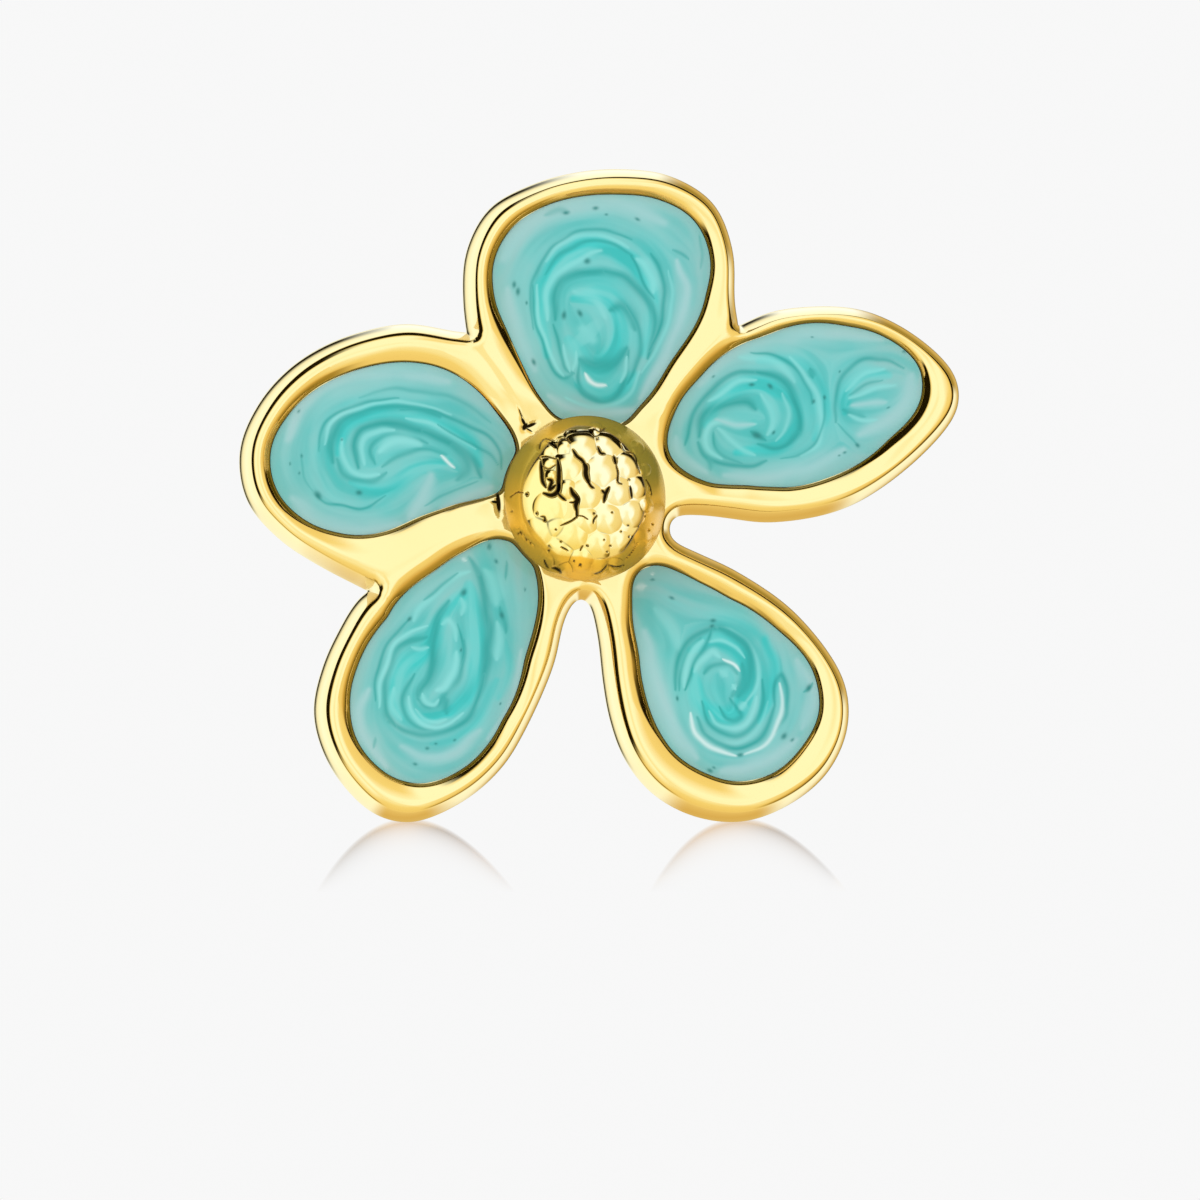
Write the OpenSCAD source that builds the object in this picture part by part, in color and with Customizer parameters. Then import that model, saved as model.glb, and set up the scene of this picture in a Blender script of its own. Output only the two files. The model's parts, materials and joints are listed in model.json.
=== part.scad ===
// Flower stud earring: a gold flower of five unequal petals, each a pocket filled with enamel,
// with a pebbled dome in the middle and a plain post behind.
// The flower is drawn flat, its back on z = 0 and the dome's axis on z, facing +Z with its top at +Y.
// It is then leaned back until it rests on its two lower petals and on the tip of its post.

/* [Flower] */
// Width over the left and right petals
flower_w = 20; // [19:0.5:24]
// Height of the rims' outer edge over the back
crest_z = 1.45; // [1.3:0.05:1.7]
// Height of the middle of the bridges between joined petals
bridge_z = 1.5; // [1.35:0.05:1.7]
// Most that a rim swells above the line between its two edges
rim_swell = 0.2; // [0:0.02:0.3]
// Height of the line where the sides are widest
widest_z = 0.3; // [0.2:0.05:0.6]
// How far the sides stand out beyond the rims' outer edge
side_flare = 0.27; // [0.1:0.01:0.35]
// How far the rounded back edge draws in
back_round = 0.12; // [0.05:0.01:0.2]

/* [Pockets] */
// Height of the pockets' edge
pocket_edge_z = 1.3; // [1.15:0.05:1.4]
// Height of the pockets' floor
pocket_floor_z = 0.7; // [0.5:0.05:0.9]
// How far from the dome's axis the pockets end
pocket_clear_r = 2.25; // [2.2:0.01:2.3]

/* [Enamel] */
// Gap all round an enamel filling
enamel_gap = 0.02; // [0.01:0.01:0.05]
// Height of the enamel along its edge
enamel_edge_z = 1.25; // [1.1:0.01:1.28]
// Height that the middle of the enamel has over its edge
enamel_crown = 0.17; // [0:0.01:0.25]

/* [Dome] */
// Diameter of the dome at its waist
dome_d = 4.56; // [4.4:0.02:4.7]
// Height of the waist over the back
waist_z = 2; // [1.9:0.05:2.2]
// Height of the dome above its waist
dome_rise = 1.85; // [1.6:0.05:2.1]
// Diameter of the seat that the dome stands on
seat_d = 4; // [3.8:0.02:4]
// Height of the seat over the back
seat_z = 1.15; // [1.1:0.05:1.25]
// Height of the pebbles on the dome
pebble_h = 0.11; // [0:0.01:0.14]
// Gap between the dome and its seat
dome_gap = 0.01; // [0.01:0.01:0.03]

/* [Post] */
// Diameter of the post
post_d = 0.8; // [0.7:0.05:1]
// Length of the post behind the flower
post_len = 11; // [9:0.5:12]
// Gap between the post and the back
post_gap = 0.01; // [0.01:0.01:0.03]

/* [Facets] */
// Facets along each stretch of the outline
stretch_steps = 3; // [2:1:4]
// Facets along a crease between two petals
crease_steps = 6; // [4:1:8]
// Facets along a pocket's end at the dome
end_steps = 8; // [6:1:10]
// Facets round the dome
dome_steps = 72; // [48:4:80]
// Rings of facets from the dome's waist to its top
dome_rings = 28; // [20:1:32]

/* [Hidden] */
gold = "#E9B94C";
pale_gold = "#F2CF72";
turquoise = "#62CFC4";

// The petals, anticlockwise, and the places of their tables in each list.
RIGHT = 0;
TOP = 1;
LEFT = 2;
LOWER_LEFT = 3;
LOWER_RIGHT = 4;
PETALS = [RIGHT, TOP, LEFT, LOWER_LEFT, LOWER_RIGHT];

// All lengths in the tables are for a flower 20 mm wide.
table_w = 20;
k = flower_w / table_w;

// Middle of each petal, from which its radii are measured.
MIDDLES = [[5.85, 2.55], [0.5, 5.55], [-5.4, 1.4], [-3.8, -4.55], [3.8, -4.95]];

// Shape of each petal, anticlockwise from where its free edge begins, to the nearest 0.05 mm.
// Columns: direction, radius of the pocket, how far the side stands out beyond the pocket's edge.
// The last is 0 where the petal is joined to its neighbours.
DIRECTION = 0;
POCKET = 1;
RIM = 2;
RADII = [
    [ // right
        [-130, 2.8, 1.05],
        [-120, 2.5, 1],
        [-100, 2.25, 0.95],
        [-60, 2.2, 0.95],
        [-20, 2.75, 1.1],
        [0, 3.45, 1.2],
        [10, 3.65, 1.05],
        [20, 3.65, 0.75],
        [40, 3.15, 0.6],
        [60, 2.65, 0.6],
        [100, 2.2, 0.55],
        [120, 2.2, 0],
        [160, 2.7, 0],
        [180, 3.25, 0],
        [200, 3.7, 0],
        [220, 3.2, 0]
    ],
    [ // top
        [0, 2.9, 0.9],
        [20, 3.25, 0.75],
        [40, 3.4, 0.8],
        [60, 3.2, 0.8],
        [80, 2.95, 0.75],
        [100, 2.9, 0.7],
        [120, 3, 0.7],
        [140, 3.15, 0.8],
        [160, 3.15, 0.75],
        [180, 2.95, 0.8],
        [200, 2.75, 0],
        [220, 2.85, 0],
        [240, 3.25, 0],
        [250, 3.5, 0],
        [280, 3.5, 0],
        [290, 3.15, 0],
        [320, 2.6, 0]
    ],
    [ // left
        [60, 2.65, 1.15],
        [80, 2.45, 1.1],
        [100, 2.35, 1],
        [120, 2.4, 0.95],
        [140, 2.6, 0.9],
        [160, 2.9, 0.85],
        [180, 3.25, 0.8],
        [200, 3.3, 0.8],
        [220, 3.05, 0.8],
        [240, 2.7, 1],
        [280, 2.15, 0],
        [300, 2.1, 0],
        [320, 2.4, 0],
        [330, 2.8, 0],
        [340, 3.35, 0],
        [360, 3.55, 0],
        [380, 3.15, 0]
    ],
    [ // lower left
        [145, 2.1, 0.9],
        [160, 2.2, 0.85],
        [180, 2.45, 0.9],
        [200, 2.85, 1],
        [220, 3.25, 0.95],
        [240, 3.45, 1.05],
        [250, 3.45, 1.1],
        [260, 3.35, 1.05],
        [280, 2.9, 0.85],
        [300, 2.45, 0.8],
        [320, 2.15, 0.75],
        [360, 2.15, 0.9],
        [380, 2.55, 1],
        [410, 3.7, 0],
        [420, 3.85, 0],
        [430, 3.7, 0],
        [440, 3.2, 0],
        [460, 2.55, 0],
        [500, 2.1, 0]
    ],
    [ // lower right
        [160, 2.45, 1.1],
        [180, 2.2, 1],
        [200, 2.15, 1.05],
        [220, 2.25, 1.15],
        [240, 2.45, 1.2],
        [260, 2.65, 1.2],
        [280, 2.9, 1.1],
        [300, 3, 1],
        [320, 2.95, 1.05],
        [340, 2.9, 0.95],
        [360, 2.65, 0.85],
        [400, 2.1, 0.75],
        [440, 2.2, 0.85],
        [460, 2.65, 0.95],
        [470, 3.1, 0],
        [480, 3.65, 0],
        [490, 3.7, 0],
        [500, 3.2, 0]
    ]
];

// Points where the side's widest line passes the gap that follows each petal.
NOTCHES = [
    [[4.4, 4.85]],
    [[-3.15, 4.65]],
    [[-5.9, -2.5]],
    [[-0.2, -2.8], [0, -2.65], [0.2, -2.75]],
    [[2.5, -1.05], [2.45, -0.75], [2.55, -0.45]]
];

// What lies between each gap and the dome.
// Columns: directions from the dome's axis of the web's two edges, middle of the crease, its depth.
WEB_FROM = 0;
WEB_TO = 1;
CREASE_MIDDLE = 2;
CREASE_DEPTH = 3;
WEBS = [
    [47, 47, [2.55, 3.2], 0.06],
    [126, 126, [-2.15, 3.1], 0.14],
    [193, 193, [-3.7, -1.2], 0.02],
    [265, 279, [0, 0], 0],
    [332, 354, [0, 0], 0]
];

// Pebbles on the dome. Columns: x and y from the dome's axis, radius.
PEBBLES = [
    [-0.95, 1.4, 0.24], [-0.5, 1.5, 0.22], [-0.9, 0.95, 0.22], [-0.8, 0.4, 0.24],
    [0.1, 1.55, 0.36], [0.1, 1.1, 0.3], [0.7, 1.6, 0.34], [-0.4, 1, 0.34],
    [0.55, 0.75, 0.38], [1.2, 0.9, 0.32], [-0.35, 0.5, 0.3], [0, 0.45, 0.24],
    [0.25, 0, 0.36], [0.95, 0.05, 0.34], [1.55, 0.2, 0.28], [1.65, 0.8, 0.2],
    [1.4, -0.5, 0.32], [0.7, -0.65, 0.36], [-0.15, -0.8, 0.4], [-0.6, -0.1, 0.42],
    [-1, -0.75, 0.4], [-1.55, -0.1, 0.38], [1.05, -1.25, 0.32], [0.35, -1.35, 0.34],
    [-0.5, -1.45, 0.32], [-0.1, -1.85, 0.24], [0.55, -1.85, 0.24], [-1.5, -0.85, 0.28],
    [-1.1, -1.35, 0.26], [1.85, -0.2, 0.22], [1.5, -1.05, 0.2], [1.25, 1.4, 0.2]
];

// Lines round the side from the rims' outer edge to the back. Columns: height, how far inside the widest line.
SIDE_LINES = [
    [crest_z, side_flare],
    [widest_z + 0.6 * (crest_z - widest_z), 0.36 * side_flare],
    [widest_z, 0],
    [0, back_round]
];
CREST = 0;
BACK = len(SIDE_LINES) - 1;

// Shares of the way across a rim, from the pocket's edge, where its facets meet.
RIM_SHARES = [0, 0.2, 0.45, 0.75, 1];
// Shares of an enamel filling's radius where its facets meet.
ENAMEL_SHARES = [1, 0.93, 0.65, 0.3];

seat_r = seat_d / 2;
dome_r = dome_d / 2;
// The surface near the dome stays under a cone that leaves the dome's underside free.
cone_slope = 1.15;
// Share of a narrow rim's width that it swells.
swell_share = 0.25;
// Share of the crease, from the dome, over which it sinks to the seat.
sink_share = 0.3;
// Width over which a pocket's end rounds into its sides.
corner_round = 0.06;
// How far inside the seat's edge the dome's foot stands.
foot_inset = 0.04;
under_rings = 3;

// General functions
function unit(d) = [cos(d), sin(d)];
function direction(v) = atan2(v[1], v[0]);
function lift_to(p, z) = [p[0], p[1], z];
function flat(p) = [p[0], p[1]];
function between(a, b, t) = a + t * (b - a);
function wrapped(list, i) = list[((i % len(list)) + len(list)) % len(list)];
function reversed(list) = [for (i = [len(list) - 1 : -1 : 0]) list[i]];
function closed(list) = concat(list, [list[0]]);
function sum_to(list, n) = n <= 0 ? 0 : list[n - 1] + sum_to(list, n - 1);

// The smaller of two lengths, with the corner between them rounded.
function soft_min(a, b, width) =
    let (share = max(0, min(1, 0.5 + (a - b) / (2 * width))))
    between(a, b, share) - width * share * (1 - share);

// A table's radius in direction d, smooth all round the petal.
function row_direction(rows, i) = wrapped(rows, i)[DIRECTION] + 360 * floor(i / len(rows));
function row_slope(rows, column, i) =
    (wrapped(rows, i + 1)[column] - wrapped(rows, i - 1)[column])
    / (row_direction(rows, i + 1) - row_direction(rows, i - 1));
function smooth_radius(rows, column, d) =
    let (
        turned = d - 360 * floor((d - rows[0][DIRECTION]) / 360),
        i = max([for (j = [0 : len(rows) - 1]) if (rows[j][DIRECTION] <= turned) j]),
        width = row_direction(rows, i + 1) - row_direction(rows, i),
        u = (turned - row_direction(rows, i)) / width,
        v = 1 - u
    )
    (1 + 2 * u) * v * v * rows[i][column]
    + u * v * v * width * row_slope(rows, column, i)
    + u * u * (1 + 2 * v) * wrapped(rows, i + 1)[column]
    - u * u * v * width * row_slope(rows, column, i + 1);

// Distance from a petal's middle, in direction d, to the circle round the dome where pockets end.
function distance_to_end(middle, d) =
    let (
        along = middle * unit(d),
        under = along * along - middle * middle + pocket_clear_r * pocket_clear_r
    )
    along < 0 && under > 0 ? -along - sqrt(under) : flower_w;

// Point of a petal's pocket, drawn in by inset, in direction d.
function pocket_point(petal, d, inset = 0) =
    let (
        middle = k * MIDDLES[petal],
        drawn = k * smooth_radius(RADII[petal], POCKET, d),
        radius = soft_min(distance_to_end(middle, d), drawn, corner_round)
    )
    middle + (radius - inset) * unit(d);

// Points that the widest line passes through, petal by petal and gap by gap.
function free_points(petal) = [
    for (row = RADII[petal]) if (row[RIM] > 0)
        k * (MIDDLES[petal] + (row[POCKET] + row[RIM]) * unit(row[DIRECTION]))
];
STATIONS = [for (petal = PETALS) each concat(free_points(petal), k * NOTCHES[petal])];
FREE_COUNTS = [for (petal = PETALS) len(free_points(petal))];
STATION_COUNTS = [for (petal = PETALS) FREE_COUNTS[petal] + len(NOTCHES[petal])];

// A smooth curve through four points, from the second to the third.
function mix(a, b, from, to, t) = (a * (to - t) + b * (t - from)) / (to - from);
function curve_point(p, u) =
    let (
        t1 = sqrt(norm(p[1] - p[0])),
        t2 = t1 + sqrt(norm(p[2] - p[1])),
        t3 = t2 + sqrt(norm(p[3] - p[2])),
        t = between(t1, t2, u),
        a = mix(p[0], p[1], 0, t1, t),
        b = mix(p[1], p[2], t1, t2, t),
        c = mix(p[2], p[3], t2, t3, t)
    )
    mix(mix(a, b, 0, t2, t), mix(b, c, t1, t3, t), t1, t2, t);

OUTLINE = [
    for (i = [0 : len(STATIONS) - 1]) for (j = [0 : stretch_steps - 1])
        curve_point([for (n = [-1 : 2]) wrapped(STATIONS, i + n)], j / stretch_steps)
];
INWARD = [
    for (i = [0 : len(OUTLINE) - 1])
        let (along = wrapped(OUTLINE, i + 1) - wrapped(OUTLINE, i - 1)) [-along[1], along[0]] / norm(along)
];
function under_cone(p) = lift_to(p, min(p[2], seat_z + max(0, cone_slope * (norm(flat(p)) - seat_r))));
LINES = [
    for (line = SIDE_LINES) [
        for (i = [0 : len(OUTLINE) - 1]) under_cone(lift_to(OUTLINE[i] + line[1] * INWARD[i], line[0]))
    ]
];

// Places in the outline where a petal's free edge begins and ends.
function edge_from(petal) = (sum_to(STATION_COUNTS, petal) - 1) * stretch_steps;
function edge_to(petal) = (sum_to(STATION_COUNTS, petal) + FREE_COUNTS[petal]) * stretch_steps;
function web_to(petal) = edge_to(petal) + (len(NOTCHES[petal]) - 1) * stretch_steps;
function line_points(line, from, to) = [for (i = [from : to]) wrapped(LINES[line], i)];
function before(petal) = (petal + len(PETALS) - 1) % len(PETALS);

// Height of a bridge along its crease, from 0 at the gap to 1 at the dome's seat.
function crease_height(petal, share) =
    let (
        depth = WEBS[petal][CREASE_DEPTH],
        rise = bridge_z - depth - crest_z,
        ridge = crest_z + rise * min(1, 4 * share),
        sink = max(0, 1 - (1 - share) / sink_share)
    )
    between(ridge, seat_z, sink * sink);

// Point on a crease or web, from the rims' outer edge at p to the seat in direction d.
function web_point(petal, p, d, share) =
    let (
        end = seat_r * unit(d),
        bent = WEBS[petal][CREASE_DEPTH] > 0,
        middle = bent ? k * WEBS[petal][CREASE_MIDDLE] : (flat(p) + end) / 2,
        flat_point = (1 - share) * (1 - 2 * share) * flat(p) + 4 * share * (1 - share) * middle
            + share * (2 * share - 1) * end
    )
    share <= 0 ? p : lift_to(flat_point, share >= 1 ? seat_z : crease_height(petal, share));
function crease(petal, p, d, from, to) = [
    for (i = [from : to]) web_point(petal, p, d, i / crease_steps)
];

// The closed loop round a petal, anticlockwise: free edge, crease, arc at the seat, crease.
function seat_arc(from, to, z) = [
    for (i = [0 : end_steps]) lift_to(seat_r * unit(between(from, to, i / end_steps)), z)
];
function seat_span(petal) = [
    WEBS[before(petal)][WEB_TO] - (petal == RIGHT ? 360 : 0), WEBS[petal][WEB_FROM]
];
function petal_loop(petal) =
    let (
        edge = line_points(CREST, edge_from(petal), edge_to(petal)),
        first = edge[0],
        last = edge[len(edge) - 1],
        span = seat_span(petal)
    )
    concat(
        edge,
        crease(petal, last, span[1], 1, crease_steps - 1),
        seat_arc(span[1], span[0], seat_z),
        reversed(crease(before(petal), first, span[0], 1, crease_steps - 1))
    );

// How much of the rim's swell each point of the loop takes.
function swell_weights(petal) =
    let (
        edge = edge_to(petal) - edge_from(petal) + 1,
        start = WEBS[before(petal)][CREASE_DEPTH],
        finish = WEBS[petal][CREASE_DEPTH]
    )
    concat(
        [for (i = [1 : edge]) 1],
        [for (i = [1 : crease_steps - 1]) web_swell(finish, i)],
        [for (i = [0 : end_steps]) 0],
        [for (i = [crease_steps - 1 : -1 : 1]) web_swell(start, i)]
    );
function web_swell(depth, i) = max(1 - 3 * i / crease_steps, min(1, depth / rim_swell));

// The rim's surface across the way from the pocket's edge to a point of the loop.
function rim_point(inner, outer, weight, share) =
    let (
        p = between(inner, outer, share),
        rise = (outer[2] - inner[2]) * share * (1 - share),
        swell = weight * min(rim_swell, swell_share * norm(outer - inner))
    )
    lift_to(p, p[2] + rise + swell * 4 * share * (1 - share));

// Faces as lists of points, anticlockwise seen from outside.
function patch(rows) = [
    for (i = [0 : len(rows) - 2]) for (j = [0 : len(rows[0]) - 2])
        each [
            [rows[i][j], rows[i + 1][j], rows[i + 1][j + 1]],
            [rows[i][j], rows[i + 1][j + 1], rows[i][j + 1]]
        ]
];
function fan(centre, loop) = [for (i = [0 : len(loop) - 2]) [centre, loop[i], loop[i + 1]]];
function back_fan(centre, loop) = [for (i = [0 : len(loop) - 2]) [loop[i], centre, loop[i + 1]]];
module solid(faces) {
    polyhedron(
        points = [for (face = faces) each face],
        faces = [for (i = [0 : len(faces) - 1]) [3 * i + 2, 3 * i + 1, 3 * i]]
    );
}

// The pocket's edge, with a point facing each point of the loop round the petal.
function pocket_loop(petal, inset = 0) = [
    for (p = petal_loop(petal)) pocket_point(petal, direction(flat(p) - k * MIDDLES[petal]), inset)
];

function petal_faces(petal) =
    let (
        middle = k * MIDDLES[petal],
        loop = petal_loop(petal),
        weights = swell_weights(petal),
        places = [for (i = [0 : len(loop) - 1]) i],
        edge = pocket_loop(petal),
        floor_loop = [for (p = edge) lift_to(p, pocket_floor_z)],
        rim = [
            for (share = RIM_SHARES) [
                for (i = places) under_cone(rim_point(lift_to(edge[i], pocket_edge_z), loop[i], weights[i], share))
            ]
        ],
        span = seat_span(petal),
        back_loop = concat(
            line_points(BACK, edge_from(petal), edge_to(petal)),
            seat_arc(span[1], span[0], 0)
        )
    )
    concat(
        fan(lift_to(middle, pocket_floor_z), closed(floor_loop)),
        patch([for (row = concat([floor_loop], rim)) closed(row)]),
        back_fan(lift_to(middle, 0), closed(back_loop))
    );

// The short webs where the outline passes between two petals close to the dome.
function web_faces(petal) =
    let (
        from = edge_to(petal),
        to = web_to(petal),
        edge = line_points(CREST, from, to),
        steps = to - from,
        turns = [for (i = [0 : steps]) between(WEBS[petal][WEB_FROM], WEBS[petal][WEB_TO], i / steps)],
        rows = [
            for (j = [crease_steps : -1 : 0]) [
                for (i = [0 : steps]) under_cone(web_point(petal, edge[i], turns[i], j / crease_steps))
            ]
        ],
        back_rows = [line_points(BACK, from, to), [for (d = turns) lift_to(seat_r * unit(d), 0)]]
    )
    steps > 0 ? concat(patch(rows), patch(back_rows), seat_faces([for (d = turns) seat_r * unit(d)])) : [];

function seat_faces(arc) = concat(
    fan([0, 0, seat_z], [for (p = arc) lift_to(p, seat_z)]),
    back_fan([0, 0, 0], [for (p = arc) lift_to(p, 0)])
);

module flower_frame_shape() {
    solid(concat(
        [for (petal = PETALS) each petal_faces(petal)],
        [for (petal = PETALS) each web_faces(petal)],
        [for (petal = PETALS) each seat_faces(seat_arc(seat_span(petal)[0], seat_span(petal)[1], 0))],
        patch([for (line = LINES) closed(line)])
    ));
}

module enamel_shape(petal) {
    middle = k * MIDDLES[petal];
    edge = closed(pocket_loop(petal, enamel_gap));
    bottom_z = pocket_floor_z + enamel_gap;
    rings = [
        for (share = ENAMEL_SHARES) [
            for (p = edge) lift_to(between(middle, p, share), enamel_edge_z + enamel_crown * (1 - share * share))
        ]
    ];
    solid(concat(
        fan(lift_to(middle, enamel_edge_z + enamel_crown), rings[len(rings) - 1]),
        patch(concat(reversed(rings), [[for (p = edge) lift_to(p, bottom_z)]])),
        back_fan(lift_to(middle, bottom_z), [for (p = edge) lift_to(p, bottom_z)])
    ));
}

// A dome is an ellipsoid above its waist and draws in to its foot below it.
function dome_surface(p) =
    let (r = min(1, norm(p) / dome_r)) lift_to(p, waist_z + dome_rise * sqrt(1 - r * r));
function pebble_rise(p) = max([
    for (row = PEBBLES)
        let (far = norm(p - dome_surface([row[0], row[1]])) / row[2]) far < 1 ? pebble_h * (1 - far * far) : 0
]);
function dome_outward(p) =
    let (n = [p[0] / pow(dome_r, 2), p[1] / pow(dome_r, 2), (p[2] - waist_z) / pow(dome_rise, 2)]) n / norm(n);
function dome_point(turn, tilt) =
    let (p = lift_to(dome_r * cos(tilt) * unit(turn), waist_z + dome_rise * sin(tilt)))
    p + pebble_rise(p) * dome_outward(p);

module centre_dome_shape() {
    turns = [for (i = [0 : dome_steps]) (i % dome_steps) * 360 / dome_steps];
    foot_z = seat_z + dome_gap;
    foot_r = seat_r - foot_inset;
    under = [
        for (i = [1 : under_rings])
            let (share = i / under_rings, r = dome_r - (dome_r - foot_r) * share * share) [
                for (turn = turns) lift_to(r * unit(turn), between(waist_z, foot_z, share))
            ]
    ];
    upper = [
        for (i = [dome_rings - 1 : -1 : 0]) [for (turn = turns) dome_point(turn, 90 * i / dome_rings)]
    ];
    solid(concat(
        fan(dome_point(0, 90), upper[0]),
        patch(concat(upper, under)),
        back_fan([0, 0, foot_z], under[under_rings - 1])
    ));
}

module ear_post_shape() {
    r = post_d / 2;
    translate([0, 0, r - post_len]) cylinder(r = r, h = post_len - r - post_gap, $fn = 32);
    translate([0, 0, r - post_len]) sphere(r = r, $fn = 32);
}

// At rest the back edge of the lower petals and the ball end of the post touch the ground.
BACK_YS = [for (p = LINES[BACK]) p[1]];
drop = -min(BACK_YS);
tip_r = post_d / 2;
reach = post_len - tip_r;
lean = acos(tip_r / norm([drop, reach])) - atan(reach / drop);
function leaned_y(p) = p[1] * sin(lean) - p[2] * cos(lean);
SIDE_XS = [for (p = OUTLINE) p[0]];
FRONT_YS = [for (p = LINES[CREST]) leaned_y(p)];
centre_x = (min(SIDE_XS) + max(SIDE_XS)) / 2;
centre_y = (min(FRONT_YS) + reach * cos(lean) + tip_r) / 2;

module at_rest() {
    translate([-centre_x, -centre_y, drop * cos(lean)]) rotate([90 - lean, 0, 0]) children();
}

module flower_frame() {
    color(gold) at_rest() flower_frame_shape();
}
module enamel_top() {
    color(turquoise) at_rest() enamel_shape(TOP);
}
module enamel_right() {
    color(turquoise) at_rest() enamel_shape(RIGHT);
}
module enamel_left() {
    color(turquoise) at_rest() enamel_shape(LEFT);
}
module enamel_lower_left() {
    color(turquoise) at_rest() enamel_shape(LOWER_LEFT);
}
module enamel_lower_right() {
    color(turquoise) at_rest() enamel_shape(LOWER_RIGHT);
}
module centre_dome() {
    color(pale_gold) at_rest() centre_dome_shape();
}
module ear_post() {
    color(gold) at_rest() ear_post_shape();
}

flower_frame();
enamel_top();
enamel_right();
enamel_left();
enamel_lower_left();
enamel_lower_right();
centre_dome();
ear_post();
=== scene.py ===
"""Looks of a flower stud earring: enamel petals in polished gold rims round a pebbled gold dome.

Shapes are drawn in millimetres in the flower's own frame: its back on z = 0, the dome's axis on z, its top
at +y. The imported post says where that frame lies, and place() turns points in it into the model's metres.
"""

import json
import math

import bmesh
import bpy
import numpy as np
from mathutils import Matrix, Vector

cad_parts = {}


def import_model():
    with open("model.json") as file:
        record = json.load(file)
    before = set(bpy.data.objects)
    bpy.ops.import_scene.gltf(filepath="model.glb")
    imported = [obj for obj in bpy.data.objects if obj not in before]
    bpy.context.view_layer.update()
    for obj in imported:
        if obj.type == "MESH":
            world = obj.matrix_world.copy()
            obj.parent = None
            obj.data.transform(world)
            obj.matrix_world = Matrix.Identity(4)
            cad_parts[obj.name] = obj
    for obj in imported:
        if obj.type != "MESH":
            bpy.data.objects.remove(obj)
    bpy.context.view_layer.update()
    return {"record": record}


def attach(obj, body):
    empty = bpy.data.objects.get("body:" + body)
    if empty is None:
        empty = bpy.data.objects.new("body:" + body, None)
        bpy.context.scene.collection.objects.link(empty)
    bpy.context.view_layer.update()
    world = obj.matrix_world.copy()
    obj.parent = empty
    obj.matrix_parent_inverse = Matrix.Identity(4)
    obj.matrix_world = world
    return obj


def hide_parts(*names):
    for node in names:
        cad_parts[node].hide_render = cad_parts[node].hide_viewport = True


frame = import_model()
MM = 0.001

# Where the flower lies: its back is square to the post, just above the post's upper end.
POST = frame["record"]["mounts"][0]
POST_R = POST["dims"]["r_mm"]
POST_GAP = 0.01
POST_TOP = -POST_GAP
POST_STRAIGHT = POST["dims"]["length_mm"]
RIGHT = Vector((1, 0, 0))
FACE = -Vector(POST["axis"]).normalized()
UP = FACE.cross(RIGHT)
BACK_CENTRE = Vector(POST["pos_m"]) + FACE * (POST_STRAIGHT / 2 + POST_GAP) * MM

# Heights and sizes of the flower, most of them as in the part's source.
CREST_Z = 1.45
WIDEST_Z = 0.3
SIDE_FLARE = 0.27
BACK_ROUND = 0.12
POCKET_EDGE_Z = 1.3
POCKET_FLOOR_Z = 0.7
POCKET_CLEAR_R = 2.25
ENAMEL_GAP = 0.02
ENAMEL_EDGE_Z = 1.25
ENAMEL_CROWN = 0.17
SEAT_R = 2.0
SEAT_Z = 1.15
CONE_SLOPE = 2.5
HUB_Z = 1.54
HUB_FROM_R = 2.5
HUB_TO_R = 3.9
DOME_R = 2.28
DOME_FOOT_R = 1.96
DOME_GAP = 0.01
DOME_TOP_Z = 3.84

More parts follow.
